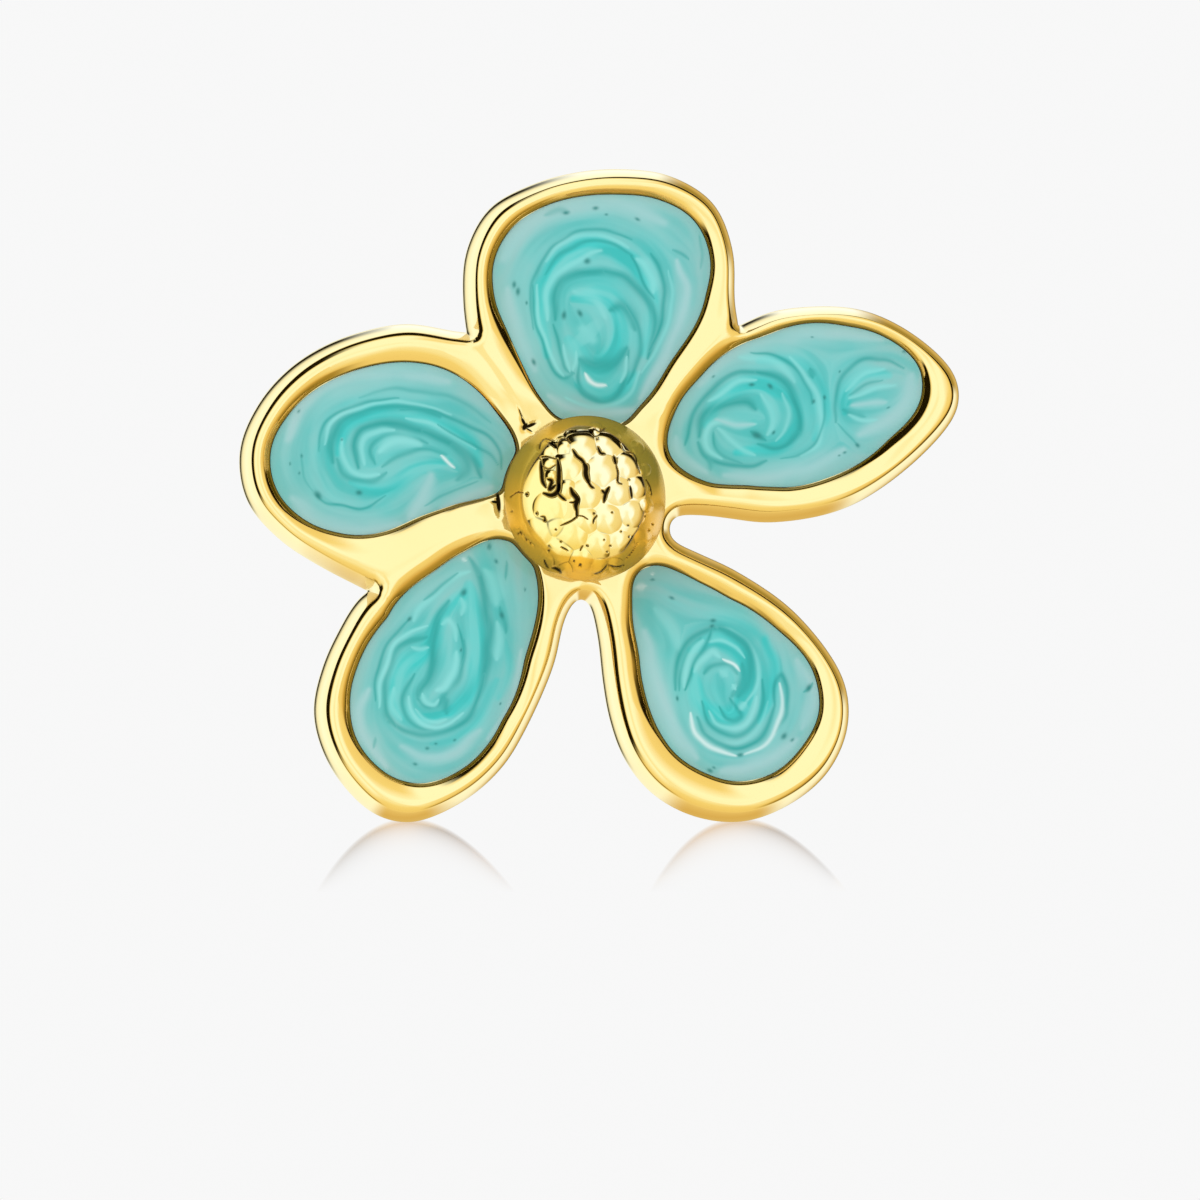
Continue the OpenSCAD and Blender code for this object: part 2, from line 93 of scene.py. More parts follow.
# Shape of each petal, anticlockwise. Columns: direction, radius of the pocket, how far the side stands out
# beyond the pocket's edge, or 0 where the petal is joined to its neighbours.
PETALS = {
    "right": {
        "middle": (5.85, 2.55),
        "rows": [
            (-130, 2.8, 1.05), (-120, 2.5, 1), (-100, 2.25, 0.95), (-60, 2.2, 0.95),
            (-20, 2.75, 1.1), (0, 3.45, 1.2), (10, 3.65, 1.05), (20, 3.65, 0.75),
            (40, 3.15, 0.6), (60, 2.65, 0.6), (100, 2.2, 0.55), (120, 2.2, 0),
            (160, 2.7, 0), (180, 3.25, 0), (200, 3.7, 0), (220, 3.2, 0),
        ],
    },
    "top": {
        "middle": (0.5, 5.55),
        "rows": [
            (0, 2.9, 0.9), (20, 3.25, 0.75), (40, 3.4, 0.8), (60, 3.2, 0.8),
            (80, 2.95, 0.75), (100, 2.9, 0.7), (120, 3, 0.7), (140, 3.15, 0.8),
            (160, 3.15, 0.75), (180, 2.95, 0.8), (200, 2.75, 0), (220, 2.85, 0),
            (240, 3.25, 0), (250, 3.5, 0), (280, 3.5, 0), (290, 3.15, 0), (320, 2.6, 0),
        ],
    },
    "left": {
        "middle": (-5.4, 1.4),
        "rows": [
            (60, 2.65, 1.15), (80, 2.45, 1.1), (100, 2.35, 1), (120, 2.4, 0.95),
            (140, 2.6, 0.9), (160, 2.9, 0.85), (180, 3.25, 0.8), (200, 3.3, 0.8),
            (220, 3.05, 0.8), (240, 2.7, 1), (280, 2.15, 0), (300, 2.1, 0),
            (320, 2.4, 0), (330, 2.8, 0), (340, 3.35, 0), (360, 3.55, 0), (380, 3.15, 0),
        ],
    },
    "lower_left": {
        "middle": (-3.8, -4.55),
        "rows": [
            (145, 2.1, 0.9), (160, 2.2, 0.85), (180, 2.45, 0.9), (200, 2.85, 1),
            (220, 3.25, 0.95), (240, 3.45, 1.05), (250, 3.45, 1.1), (260, 3.35, 1.05),
            (280, 2.9, 0.85), (300, 2.45, 0.8), (320, 2.15, 0.75), (360, 2.15, 0.9),
            (380, 2.55, 1), (410, 3.7, 0), (420, 3.85, 0), (430, 3.7, 0),
            (440, 3.2, 0), (460, 2.55, 0), (500, 2.1, 0),
        ],
    },
    "lower_right": {
        "middle": (3.8, -4.95),
        "rows": [
            (160, 2.45, 1.1), (180, 2.2, 1), (200, 2.15, 1.05), (220, 2.25, 1.15),
            (240, 2.45, 1.2), (260, 2.65, 1.2), (280, 2.9, 1.1), (300, 3, 1),
            (320, 2.95, 1.05), (340, 2.9, 0.95), (360, 2.65, 0.85), (400, 2.1, 0.75),
            (440, 2.2, 0.85), (460, 2.65, 0.95), (470, 3.1, 0), (480, 3.65, 0),
            (490, 3.7, 0), (500, 3.2, 0),
        ],
    },
}
NAMES = list(PETALS)

# The gap that follows each petal: points where the side's widest line passes it, directions from the dome's
# axis of the web's two edges, and where the crease between the petals bends.
GAPS = {
    "right": {"notch": [(4.4, 4.85)], "web": (47, 47), "crease": (2.55, 3.2)},
    "top": {"notch": [(-3.15, 4.65)], "web": (126, 126), "crease": (-2.15, 3.1)},
    "left": {"notch": [(-5.9, -2.5)], "web": (193, 193), "crease": (-3.7, -1.2)},
    "lower_left": {"notch": [(-0.2, -2.8), (0, -2.65), (0.2, -2.75)], "web": (265, 279)},
    "lower_right": {"notch": [(2.5, -1.05), (2.45, -0.75), (2.55, -0.45)], "web": (332, 354)},
}

# How steep the dome is, in degrees, at each radius from its axis, in four directions.
DOME_TILTS = {
    0: [(0, 0), (1.2, 8), (1.36, 14), (1.55, 26), (1.6, 60), (2.0, 66), (2.28, 80)],
    90: [(0, 0), (1.2, 12), (1.65, 26), (1.77, 35), (1.8, 51), (2.0, 57), (2.1, 66), (2.28, 78)],
    180: [(0, 0), (1.0, 12), (1.5, 20), (1.85, 28), (1.93, 56), (2.1, 66), (2.28, 80)],
    270: [(0, 0), (1.2, 12), (1.65, 20), (1.85, 42), (2.0, 60), (2.28, 78)],
}
# The ring round the dome's foot, by direction: how much darker its painted shade is, and the radius at which
# it begins.
RING_SHADE = [
    (0, 0.4), (20, 1), (80, 1), (100, 0.7), (120, 0.3), (140, 0.9), (160, 0.8), (180, 0.15), (200, 0),
    (220, 0.4), (240, 0.5), (260, 0), (280, 0.3), (300, 0.6), (320, 0.05), (340, 0), (360, 0.4),
]
RING_STARTS = [
    (0, 1.52), (20, 1.54), (40, 1.62), (60, 1.76), (80, 1.9), (100, 2.0), (120, 1.9), (140, 1.8),
    (160, 1.82), (180, 1.86), (200, 1.84), (220, 1.76), (240, 1.82), (260, 1.65), (280, 1.74),
    (300, 1.76), (320, 1.6), (340, 1.54), (360, 1.52),
]

# Pebbles on the dome, charted on the photograph: middle and radius in its pixels.
PEBBLES = [
    (548, 449, 9), (549, 464, 8), (564, 447, 9), (581, 445, 15), (608, 442, 13), (603, 471, 15),
    (628, 466, 12), (567, 467, 13), (567, 490, 9), (586, 495, 14), (619, 492, 13), (638, 488, 10),
    (608, 520, 13), (633, 515, 12), (586, 521, 12), (600, 546, 12), (621, 546, 13), (572, 535, 14),
    (550, 508, 15), (560, 552, 12), (581, 561, 11), (538, 532, 13), (556, 527, 9), (643, 540, 9),
    (551, 476, 6), (547, 560, 8), (565, 570, 7), (600, 567, 8), (616, 565, 7), (648, 506, 7),
    (646, 470, 6), (638, 448, 7), (596, 430, 7),
]
PEBBLE_H = 0.065
# Crevices between them, shallow grooves that also get painted shade: half width in pixels, then across
# and down of each place that they pass.
CREVICES = [
    (1.3, 565, 438, 568, 434, 580, 433, 590, 433, 594, 437),
    (1.8, 549, 444, 554, 446, 557, 449),
    (0.6, 558, 447, 561, 441, 567, 440, 571, 445),
    (0.6, 540, 451, 541, 444, 546, 440, 552, 442),
    (2.0, 541, 462, 542, 472, 543, 482, 546, 488),
    (0.7, 540, 458, 548, 458, 557, 460),
    (0.6, 543, 467, 549, 470, 556, 466),
    (2.6, 558, 461, 559, 470, 559, 482, 558, 492, 552, 496, 544, 494),
    (2.0, 548, 480, 552, 482, 550, 490, 556, 486),
    (1.6, 558, 494, 562, 498, 566, 501),
    (1.8, 573, 451, 577, 457, 583, 462, 586, 468),
    (2.8, 584, 464, 586, 468, 586, 475, 589, 484),
    (1.4, 588, 482, 591, 487, 594, 489),
    (1.5, 598, 448, 601, 454, 605, 455),
    (0.6, 595, 431, 600, 433, 606, 429),
    (1.7, 614, 457, 615, 461, 616, 465),
    (0.9, 616, 466, 618, 474, 618, 483, 622, 485),
    (0.9, 621, 445, 625, 452, 634, 455, 637, 465, 640, 474),
    (2.6, 571, 489, 573, 494, 577, 500, 576, 506, 577, 512),
    (1.4, 577, 508, 577, 518),
    (1.0, 570, 503, 574, 503, 577, 500),
    (0.9, 577, 517, 572, 521, 561, 526),
    (0.5, 578, 516, 583, 517, 588, 520),
    (2.0, 609, 488, 606, 494, 604, 503),
    (1.6, 602, 491, 604, 493, 606, 495),
    (1.3, 630, 487, 631, 493, 632, 499),
    (0.9, 597, 516, 594, 520, 593, 524),
    (0.9, 541, 517, 545, 518, 545, 522),
    (0.6, 524, 494, 518, 493, 511, 498, 511, 501),
    (0.7, 561, 547, 565, 549, 568, 551),
    (0.7, 583, 546, 581, 549, 580, 551),
    (1.5, 552, 568, 557, 569, 561, 573),
    (0.8, 544, 560, 546, 565, 549, 569),
    (0.9, 592, 575, 600, 572, 608, 564),
    (0.7, 608, 565, 616, 567, 625, 565),
    (0.8, 637, 543, 632, 552, 625, 560),
    (0.7, 519, 530, 526, 539, 535, 547),
    (0.7, 646, 480, 650, 487, 652, 496),
]
# Single dots, small dents that also get painted shade: middle and radius in pixels.
DOTS = [
    (594, 514, 1.2), (612, 513, 1.0), (628, 526, 1.0), (621, 532, 0.9), (629, 537, 0.9), (604, 540, 0.8),
    (610, 546, 1.0), (607, 552, 0.9), (537, 514, 1.3), (545, 521, 1.7), (527, 495, 1.7), (561, 542, 1.1),
    (549, 551, 1.2), (556, 530, 1.0), (587, 546, 1.1), (580, 565, 1.4), (574, 561, 0.9), (597, 440, 0.8),
    (629, 480, 0.9), (653, 525, 0.9), (649, 531, 0.9), (512, 512, 1.0), (519, 534, 1.1), (645, 517, 0.8),
]

# How the photograph sees the flower: its 1200 px frame, pixels to a millimetre, the place of the dome's axis
# on the flower's back, and how far the camera stands to the left and below square, for each mm in front.
PHOTO_PX = 1200
PX_PER_MM = 36.1
AXIS_PX = (579.5, 501.2)
SEEN_FROM_LEFT = 0.082
SEEN_FROM_BELOW = 0.028
CAMERA_DISTANCE = 0.5
SENSOR_MM = 36

# The marbling of each petal, charted on the photograph in its pixels and painted in this order.
# A stroke is its kind, its half width, its strength, then across and down of each place that it passes.
# A few white strokes, marked below, are painted highlights on the gloss.
SWIRLS = {
    "left": [
        ("body", 15, 0.9, 338, 455, 345, 428, 380, 412, 425, 420, 468, 442, 480, 465),
        ("body", 16, 0.8, 350, 482, 385, 490, 415, 470, 450, 462),
        ("body", 14, 0.5, 318, 470, 335, 500, 370, 508),
        ("dark", 2.5, 0.5, 360, 398, 386, 391, 416, 391, 446, 396, 474, 409, 491, 423),
        ("dark", 5.5, 0.9, 333, 463, 332, 440, 340, 422, 360, 412, 383, 407, 410, 408, 440, 417),
        ("light", 2.2, 0.9, 326, 445, 330, 425, 345, 413, 370, 405, 396, 403, 420, 405, 452, 415),
        ("dark", 1.8, 0.9, 320, 452, 321, 435, 328, 420, 345, 410, 366, 403, 383, 401, 400, 400),
        ("dark", 2.0, 0.9, 400, 411, 428, 411, 455, 420, 476, 430, 492, 440, 502, 454, 503, 468),
        ("dark", 3.5, 0.8, 337, 460, 342, 474, 356, 480, 372, 480, 386, 473),
        ("light", 3.0, 0.9, 341, 440, 343, 458, 351, 470, 364, 475, 378, 474),
        ("dark", 5.0, 1, 358, 466, 354, 446, 362, 431, 378, 425, 400, 425, 424, 431, 445, 441),
        ("dark", 4.5, 1, 424, 431, 445, 441, 460, 451, 474, 463, 481, 478),
        ("light", 2.2, 0.9, 406, 419, 431, 424, 453, 435, 476, 450),
        ("dark", 1.6, 0.9, 438, 425, 453, 434, 474, 446, 491, 455, 500, 465),
        ("light", 3.2, 0.9, 364, 463, 361, 449, 366, 438, 380, 431, 396, 430),
        ("dark", 3.0, 0.8, 374, 464, 370, 451, 376, 441, 391, 435, 411, 437, 428, 443),
        ("light", 6.0, 0.95, 380, 452, 390, 444, 404, 441, 420, 445),
        ("dark", 3.0, 0.7, 381, 467, 396, 459, 416, 450, 431, 448, 446, 455),
        ("dark", 5.0, 0.8, 452, 446, 464, 458, 466, 472, 457, 481),
        ("white", 1.4, 1, 441, 455, 448, 462, 455, 468),
        ("pale", 9, 0.8, 410, 520, 424, 497, 432, 476),
        ("pale", 8, 0.8, 440, 512, 464, 500, 492, 488),
        ("dark", 1.4, 0.6, 425, 506, 440, 497, 462, 488, 478, 482),
        ("pale", 10, 0.7, 292, 500, 320, 522, 360, 530, 400, 526),
        ("pale", 10, 0.7, 288, 440, 300, 408, 340, 380, 400, 372, 450, 382),
        ("dark", 1.5, 0.9, 316, 496, 330, 504, 353, 508, 373, 506, 386, 496),
        ("dark", 1.3, 0.5, 301, 455, 303, 475, 313, 492),
    ],
    "top": [
        ("body", 16, 0.9, 548, 355, 542, 310, 555, 265, 595, 245, 635, 265, 654, 305, 645, 355),
        ("body", 22, 0.9, 575, 300, 610, 300, 620, 340, 595, 370, 570, 340),
        ("body", 14, 0.8, 580, 385, 610, 395, 635, 375),
        ("dark", 2.0, 0.8, 534, 330, 532, 300, 537, 270, 555, 246, 580, 232, 605, 230, 632, 240),
        ("light", 2.5, 0.7, 546, 262, 563, 244, 585, 236, 606, 236, 630, 248),
        ("dark", 2.2, 0.7, 545, 275, 560, 256, 585, 243, 610, 243, 634, 256),
        ("light", 2.2, 1, 539, 285, 539, 315, 547, 345, 557, 367, 566, 377),
        ("dark", 1.8, 0.9, 535, 285, 535, 315, 543, 345, 554, 370, 566, 379, 575, 374),
        ("light", 4.0, 0.9, 549, 320, 547, 296, 555, 278, 567, 268, 585, 258, 602, 252),
        ("dark", 4.5, 0.9, 557, 320, 555, 298, 563, 281, 585, 273, 606, 272, 622, 277),
        ("dark", 4.5, 1, 606, 272, 622, 277, 636, 288, 647, 300, 655, 316, 655, 335, 648, 360),
        ("light", 5.5, 0.95, 638, 260, 646, 266, 653, 280, 654, 293),
        ("dark", 1.8, 1, 632, 256, 640, 272, 646, 288, 655, 300),
        ("dark", 2.6, 1, 651, 254, 661, 268, 665, 290, 664, 312, 659, 332, 650, 352),
        ("light", 2.0, 0.7, 670, 272, 673, 300, 668, 325, 657, 350, 642, 374),
        ("pale", 6, 0.85, 679, 262, 687, 290, 682, 318, 671, 345, 658, 370, 640, 398),
        ("light", 13, 0.8, 583, 330, 592, 340),
        ("light", 6, 0.6, 575, 292, 595, 300, 605, 318),
        ("dark", 6, 0.9, 611, 310, 622, 306, 632, 316, 636, 330),
        ("dark", 2.5, 0.9, 628, 306, 638, 325, 642, 345, 637, 365, 627, 383),
        ("dark", 7, 0.9, 578, 360, 592, 366, 614, 364, 628, 350),
        ("dark", 2.2, 0.8, 555, 325, 559, 340, 562, 356, 567, 370, 575, 374),
        ("light", 1.8, 0.9, 564, 345, 566, 360, 571, 372),
        ("light", 1.8, 0.9, 576, 352, 575, 363, 573, 371),
        ("dark", 3.0, 0.9, 579, 365, 580, 385, 588, 398, 602, 403, 615, 396, 625, 378, 630, 352),
        ("light", 2.0, 0.9, 628, 358, 626, 370, 620, 382),
        # A painted highlight.
        ("white", 2.4, 1, 586, 374, 591, 382, 597, 386, 606, 385),
        ("light", 2.5, 0.8, 640, 372, 630, 392, 612, 405, 590, 408, 566, 398),
        ("pale", 6, 0.8, 548, 396, 575, 412, 605, 414, 632, 410),
        ("pale", 12, 0.6, 505, 260, 525, 225, 565, 205, 620, 202, 665, 222),
        ("pale", 8, 0.6, 508, 290, 518, 330, 535, 370),
        ("dark", 3.0, 0.4, 545, 216, 560, 210, 570, 212),
        ("dark", 1.6, 0.9, 674, 251, 683, 255, 691, 260),
        ("dark", 1.6, 0.5, 700, 238, 704, 252, 702, 268),
    ],
    "right": [
        ("body", 15, 0.9, 705, 425, 722, 398, 755, 384, 790, 396, 800, 425, 780, 446, 735, 452),
        ("body", 14, 0.7, 815, 440, 828, 415, 820, 385, 800, 362, 760, 360),
        ("body", 14, 0.8, 845, 412, 848, 390, 865, 375, 890, 376),
        ("light", 5, 0.7, 741, 358, 762, 357, 780, 365, 795, 383),
        ("dark", 2.2, 0.9, 752, 352, 770, 354, 786, 361, 799, 372, 808, 388, 812, 404),
        ("light", 3.0, 0.8, 790, 357, 803, 371, 814, 389, 820, 407, 823, 428, 818, 446, 802, 456),
        ("dark", 1.6, 0.8, 823, 396, 825, 414, 823, 431, 814, 446, 798, 456, 780, 459),
        ("dark", 3.0, 0.9, 687, 445, 690, 423, 701, 403, 717, 385, 735, 375, 757, 372, 778, 378),
        ("dark", 5.0, 1, 757, 372, 778, 377, 790, 388, 796, 404, 801, 421, 800, 434, 790, 444),
        ("dark", 3.0, 0.9, 800, 434, 792, 443, 777, 448, 759, 445),
        ("light", 3.0, 0.9, 709, 401, 725, 390, 741, 382, 756, 380),
        ("light", 3.2, 0.8, 762, 394, 770, 406, 774, 420, 768, 434),
        ("light", 2.4, 0.7, 783, 392, 788, 410, 786, 430, 776, 440),
        ("dark", 5.5, 1, 699, 436, 702, 421, 713, 409, 730, 403, 748, 402, 757, 408),
        ("light", 3.4, 0.95, 757, 424, 740, 426, 722, 422, 709, 427, 705, 438, 709, 450, 722, 459),
        ("light", 3.0, 0.8, 718, 430, 730, 440, 742, 450, 756, 456),
        ("dark", 3.0, 0.9, 698, 442, 704, 455, 719, 463, 738, 466, 754, 466, 766, 461),
        ("dark", 1.8, 0.8, 713, 434, 715, 447, 725, 457, 742, 464),
        ("pale", 3, 0.9, 716, 420, 736, 425, 756, 424),
        ("dark", 3.0, 0.9, 752, 432, 760, 436, 766, 440),
        ("dark", 2.6, 0.9, 837, 423, 835, 403, 839, 385, 851, 369, 869, 361, 889, 360, 905, 368),
        ("light", 2.6, 0.8, 846, 392, 865, 376, 886, 369),
        ("light", 2.2, 0.8, 849, 399, 866, 391, 882, 387, 898, 386),
        ("dark", 1.6, 0.6, 849, 396, 866, 385, 884, 381),
        ("dark", 3.2, 0.7, 843, 409, 856, 414, 866, 417),
        ("light", 2.6, 0.9, 849, 414, 864, 421, 878, 419),
        ("pale", 3.5, 0.8, 852, 405, 870, 402, 887, 402),
        ("dark", 1.1, 0.8, 839, 424, 849, 435, 859, 446),
        ("pale", 8, 0.75, 845, 450, 805, 468, 765, 479, 725, 476),
        ("pale", 9, 0.75, 912, 375, 909, 399, 889, 421, 860, 436),
        ("pale", 6, 0.6, 676, 436, 685, 457, 706, 472),
        ("pale", 9, 0.5, 700, 385, 725, 358, 760, 340, 820, 333, 880, 340),
        ("dark", 3.0, 0.5, 709, 458, 711, 470),
        ("dark", 3.4, 0.8, 811, 368, 814, 378),
    ],
    "lower_left": [
        ("body", 16, 0.9, 465, 592, 440, 618, 428, 650, 402, 668, 394, 700, 415, 720, 450, 712),
        ("body", 16, 0.9, 450, 712, 472, 690, 476, 650, 472, 610, 468, 585),
        ("body", 10, 0.6, 430, 745, 455, 740, 480, 715, 496, 680),
        ("body", 8, 0.5, 505, 640, 508, 670, 498, 700),
        ("pale", 7, 0.8, 369, 690, 357, 715, 366, 741, 386, 766),
        ("pale", 6, 0.6, 400, 745, 425, 758, 455, 752, 480, 730),
        ("pale", 4, 0.7, 522, 650, 512, 700, 488, 738),
        ("light", 9, 0.7, 485, 572, 493, 588, 497, 603),
        ("dark", 2.0, 0.9, 375, 700, 376, 673, 385, 647, 397, 632, 408, 620),
        ("dark", 5.5, 1, 473, 561, 482, 588, 488, 615, 489, 647, 484, 675, 477, 700),
        ("dark", 3.4, 0.9, 484, 675, 477, 700, 465, 719, 445, 731, 425, 736, 405, 731, 389, 721),
        ("dark", 3.6, 0.9, 395, 726, 387, 712, 385, 690, 387, 668, 395, 652, 408, 641, 426, 638),
        ("light", 2.6, 1, 379, 706, 380, 683, 386, 662, 396, 643, 409, 633, 426, 627),
        ("light", 3.6, 0.8, 394, 687, 393, 706, 401, 720),
        ("dark", 2.6, 0.9, 413, 672, 405, 687, 403, 705, 408, 720, 421, 729, 439, 728, 456, 719),
        ("light", 2.4, 1, 408, 696, 411, 711, 421, 724, 434, 728, 448, 723, 462, 712),
        ("dark", 5.0, 1, 449, 601, 438, 615, 433, 640, 432, 662, 428, 678, 418, 689, 417, 698),
        ("dark", 3.4, 1, 417, 698, 425, 706, 437, 703, 446, 692, 457, 679, 463, 659, 463, 640),
        ("dark", 5.0, 0.8, 444, 696, 446, 712),
        ("dark", 1.5, 1, 457, 623, 461, 637, 463, 655, 459, 668),
        ("light", 4.8, 1, 436, 689, 445, 686, 451, 676, 455, 662, 455, 652),
        ("light", 3.2, 0.8, 441, 624, 448, 619, 454, 627, 455, 640),
        ("light", 2.6, 0.9, 421, 693, 424, 701, 432, 704, 437, 699),
        ("light", 2.0, 0.8, 415, 709, 423, 719, 435, 722, 446, 718),
        ("light", 2.6, 0.8, 411, 646, 420, 648, 428, 647),
        ("light", 3.0, 0.8, 460, 598, 463, 606, 461, 614),
        ("light", 3.4, 0.8, 413, 621, 418, 609, 435, 594, 456, 577, 469, 572),
        ("dark", 2.0, 0.8, 423, 600, 439, 588, 457, 574),
        ("light", 4.0, 0.8, 497, 622, 499, 643, 496, 660),
        ("dark", 2.8, 0.8, 501, 607, 504, 620, 505, 633),
        ("dark", 1.6, 0.8, 507, 561, 506, 571, 505, 580),
        ("dark", 2.4, 0.8, 470, 556, 476, 566, 478, 576),
        ("white", 2.0, 0.5, 463, 558, 467, 560),
        ("dark", 1.4, 0.5, 375, 738, 373, 748),
    ],
    "lower_right": [
        ("body", 18, 0.95, 690, 650, 715, 640, 742, 655, 748, 690, 728, 716, 700, 700, 694, 672),
        ("body", 10, 0.8, 765, 640, 774, 664, 772, 692, 760, 722),
        ("body", 12, 0.5, 670, 600, 700, 612, 740, 622, 765, 640),
        ("pale", 9, 0.8, 645, 630, 655, 680, 676, 730, 696, 757),
        ("pale", 7, 0.7, 722, 770, 765, 762, 796, 738),
        ("pale", 7, 0.7, 797, 660, 812, 695, 802, 728),
        ("light", 7, 0.5, 655, 610, 672, 630, 680, 650),
        ("light", 2.2, 0.9, 715, 628, 733, 630, 747, 640, 756, 655, 758, 673, 754, 690, 744, 706),
        ("dark", 3.4, 0.9, 675, 690, 676, 664, 685, 644, 701, 631, 719, 629, 737, 635),
        ("dark", 6.0, 1, 719, 629, 737, 636, 748, 648, 751, 666, 748, 682, 739, 696),
        ("light", 2.0, 0.9, 707, 642, 721, 641, 735, 646, 744, 657),
        ("dark", 2.0, 0.8, 679, 690, 680, 672, 688, 650, 700, 637),
        ("light", 3.6, 1, 684, 686, 686, 668, 693, 650, 702, 640),
        ("dark", 2.4, 1, 685, 689, 691, 673, 699, 656, 707, 641, 711, 627),
        ("light", 4.0, 0.9, 695, 672, 705, 659, 713, 652, 720, 657),
        ("dark", 3.0, 0.8, 705, 674, 714, 666, 728, 664, 737, 675),
        ("white", 1.5, 0.9, 723, 659, 732, 664, 739, 672),
        ("dark", 5.0, 0.8, 741, 664, 743, 682, 733, 696),
        ("light", 4.5, 0.6, 721, 671, 726, 676),
        ("light", 3.0, 0.9, 733, 686, 736, 690),
        ("light", 3.8, 1, 746, 703, 739, 710),
        ("dark", 2.6, 0.9, 731, 698, 737, 708, 740, 716, 733, 721, 725, 718, 721, 706),
        ("light", 2.6, 0.9, 709, 710, 715, 723, 731, 728, 745, 724, 753, 712, 756, 697),
        ("dark", 2.8, 0.9, 702, 700, 708, 722, 724, 734, 743, 732, 757, 720, 763, 701, 762, 678),
        ("light", 2.0, 0.5, 768, 700, 762, 722, 745, 738, 722, 742, 704, 732),
        ("dark", 3.4, 0.9, 697, 716, 705, 734, 721, 745, 739, 747, 757, 740, 769, 725, 775, 704),
        ("dark", 2.8, 0.9, 775, 704, 775, 685, 781, 675, 788, 690, 786, 712, 776, 732),
        ("white", 2.4, 0.8, 691, 712, 695, 732, 705, 744, 721, 752, 736, 755),
        ("white", 2.2, 0.7, 744, 754, 758, 750, 771, 738, 780, 718, 783, 700, 780, 683),
        # Two painted highlights.
        ("white", 4.0, 0.5, 637, 588, 645, 587),
        ("white", 1.5, 0.9, 651, 574, 653, 574),
        ("dark", 1.6, 0.8, 803, 692, 808, 688, 811, 683),
    ],
}
# Specks: middle and size in pixels.
SPECKS = {
    "left": [
        (318, 496, 4), (358, 493, 3), (299, 412, 1.8), (290, 464, 1.4), (299, 474, 1.4), (341, 441, 1.4),
        (302, 457, 1.5),
    ],
    "top": [
        (587, 262, 3.5), (515, 286, 3), (519, 293, 3.2), (581, 315, 3), (565, 316, 3.4), (534, 362, 3),
        (595, 208, 2.6), (567, 213, 2.6), (638, 219, 2.4), (606, 216, 1.6), (528, 303, 1.6),
    ],
    "right": [
        (758, 436, 4.5), (752, 385, 2.6), (771, 385, 2.6), (813, 401, 2.2), (824, 398, 2.0),
        (859, 446, 2.4), (846, 453, 1.6), (840, 456, 1.2), (774, 431, 2), (889, 407, 1.3), (841, 372, 1.4),
        (714, 377, 1.6), (814, 338, 1.2), (905, 351, 1.8),
    ],
    "lower_left": [
        (490, 547, 2.8), (497, 561, 2.2), (462, 592, 3.4), (525, 590, 1.6), (460, 650, 1.6),
        (426, 749, 1.9), (435, 745, 1.5), (414, 763, 2.2), (500, 705, 1.3), (503, 615, 3), (409, 619, 2.6),
        (455, 741, 1.6),
    ],
    "lower_right": [
        (712, 621, 2.6), (711, 626, 2.2), (677, 698, 2.2), (807, 688, 3.2), (784, 735, 3.2), (792, 738, 2),
        (740, 754, 2.8), (710, 770, 2.8), (714, 767, 1.6), (672, 598, 2.4), (652, 580, 2.0),
    ],
}


# Small tools for curves and surfaces.

def unit(degrees):
    turned = np.radians(degrees)
    return np.stack([np.cos(turned), np.sin(turned)], -1)


def direction(v):
    return np.degrees(np.arctan2(v[..., 1], v[..., 0]))


def turned_from(turns, start):
    """How far directions are turned from start, between -180 and 180 degrees."""
    return (turns - start + 180) % 360 - 180


def lifted(flat, z):
    """Flat points at height z."""
    return np.concatenate([flat, np.broadcast_to(z, flat.shape[:-1])[..., None]], -1)


def between(a, b, share):
    return a + share * (b - a)


def soft_min(a, b, width):
    """The smaller of two lengths, with the corner between them rounded."""
    share = np.clip(0.5 + (a - b) / (2 * width), 0, 1)
    return between(a, b, share) - width * share * (1 - share)


def smooth_step(t):
    t = np.clip(t, 0, 1)
    return t * t * (3 - 2 * t)


def tapered(share, end):
    """A stroke's width along its length, against its full one: thinner towards both ends."""
    return np.sqrt(np.clip(4 * share * (1 - share) + end, 0, 1))


def blurred(values, sigma):
    """A closed list of numbers or points, smoothed over sigma steps."""
    values = values.reshape(len(values), -1)
    frequency = np.fft.rfftfreq(len(values))[:, None]
    kept = np.fft.rfft(values, axis=0) * np.exp(-2 * (math.pi * frequency * sigma) ** 2)
    return np.fft.irfft(kept, n=len(values), axis=0).squeeze()


def curve_through(p0, p1, p2, p3, steps):
    """Points of a smooth curve from each p1 to its p2, given the points before and after."""
    times = [np.zeros((len(p1), 1))]
    for a, b in ((p0, p1), (p1, p2), (p2, p3)):
        times.append(times[-1] + np.sqrt(np.linalg.norm(b - a, axis=1, keepdims=True)))
    rows = []
    for u in np.arange(steps) / steps:
        at = between(times[1], times[2], u)

        def mix(a, b, start, end):
            start, end = times[start], times[end]
            return (a * (end - at) + b * (at - start)) / (end - start)

        ab, bc, cd = mix(p0, p1, 0, 1), mix(p1, p2, 1, 2), mix(p2, p3, 2, 3)
        rows.append(mix(mix(ab, bc, 0, 2), mix(bc, cd, 1, 3), 1, 2))
    return np.stack(rows, 1).reshape(-1, p1.shape[1])


def open_curve(places, steps):
    """A smooth curve through flat places, which are points or one list of numbers."""
    points = np.reshape(np.array(places, float), (-1, 2))
    ends = np.concatenate([[2 * points[0] - points[1]], points, [2 * points[-1] - points[-2]]])
    body = curve_through(ends[:-3], ends[1:-2], ends[2:-1], ends[3:], steps)
    return np.concatenate([body, points[-1:]])


# The pockets.

POCKET_TURNS = 720
POCKET_BLUR = 5
POCKET_STEPS = np.arange(POCKET_TURNS) * 360 / POCKET_TURNS
CORNER_ROUND = 0.1
FAR = 99


def middle_of(petal):
    return np.array(PETALS[petal]["middle"])


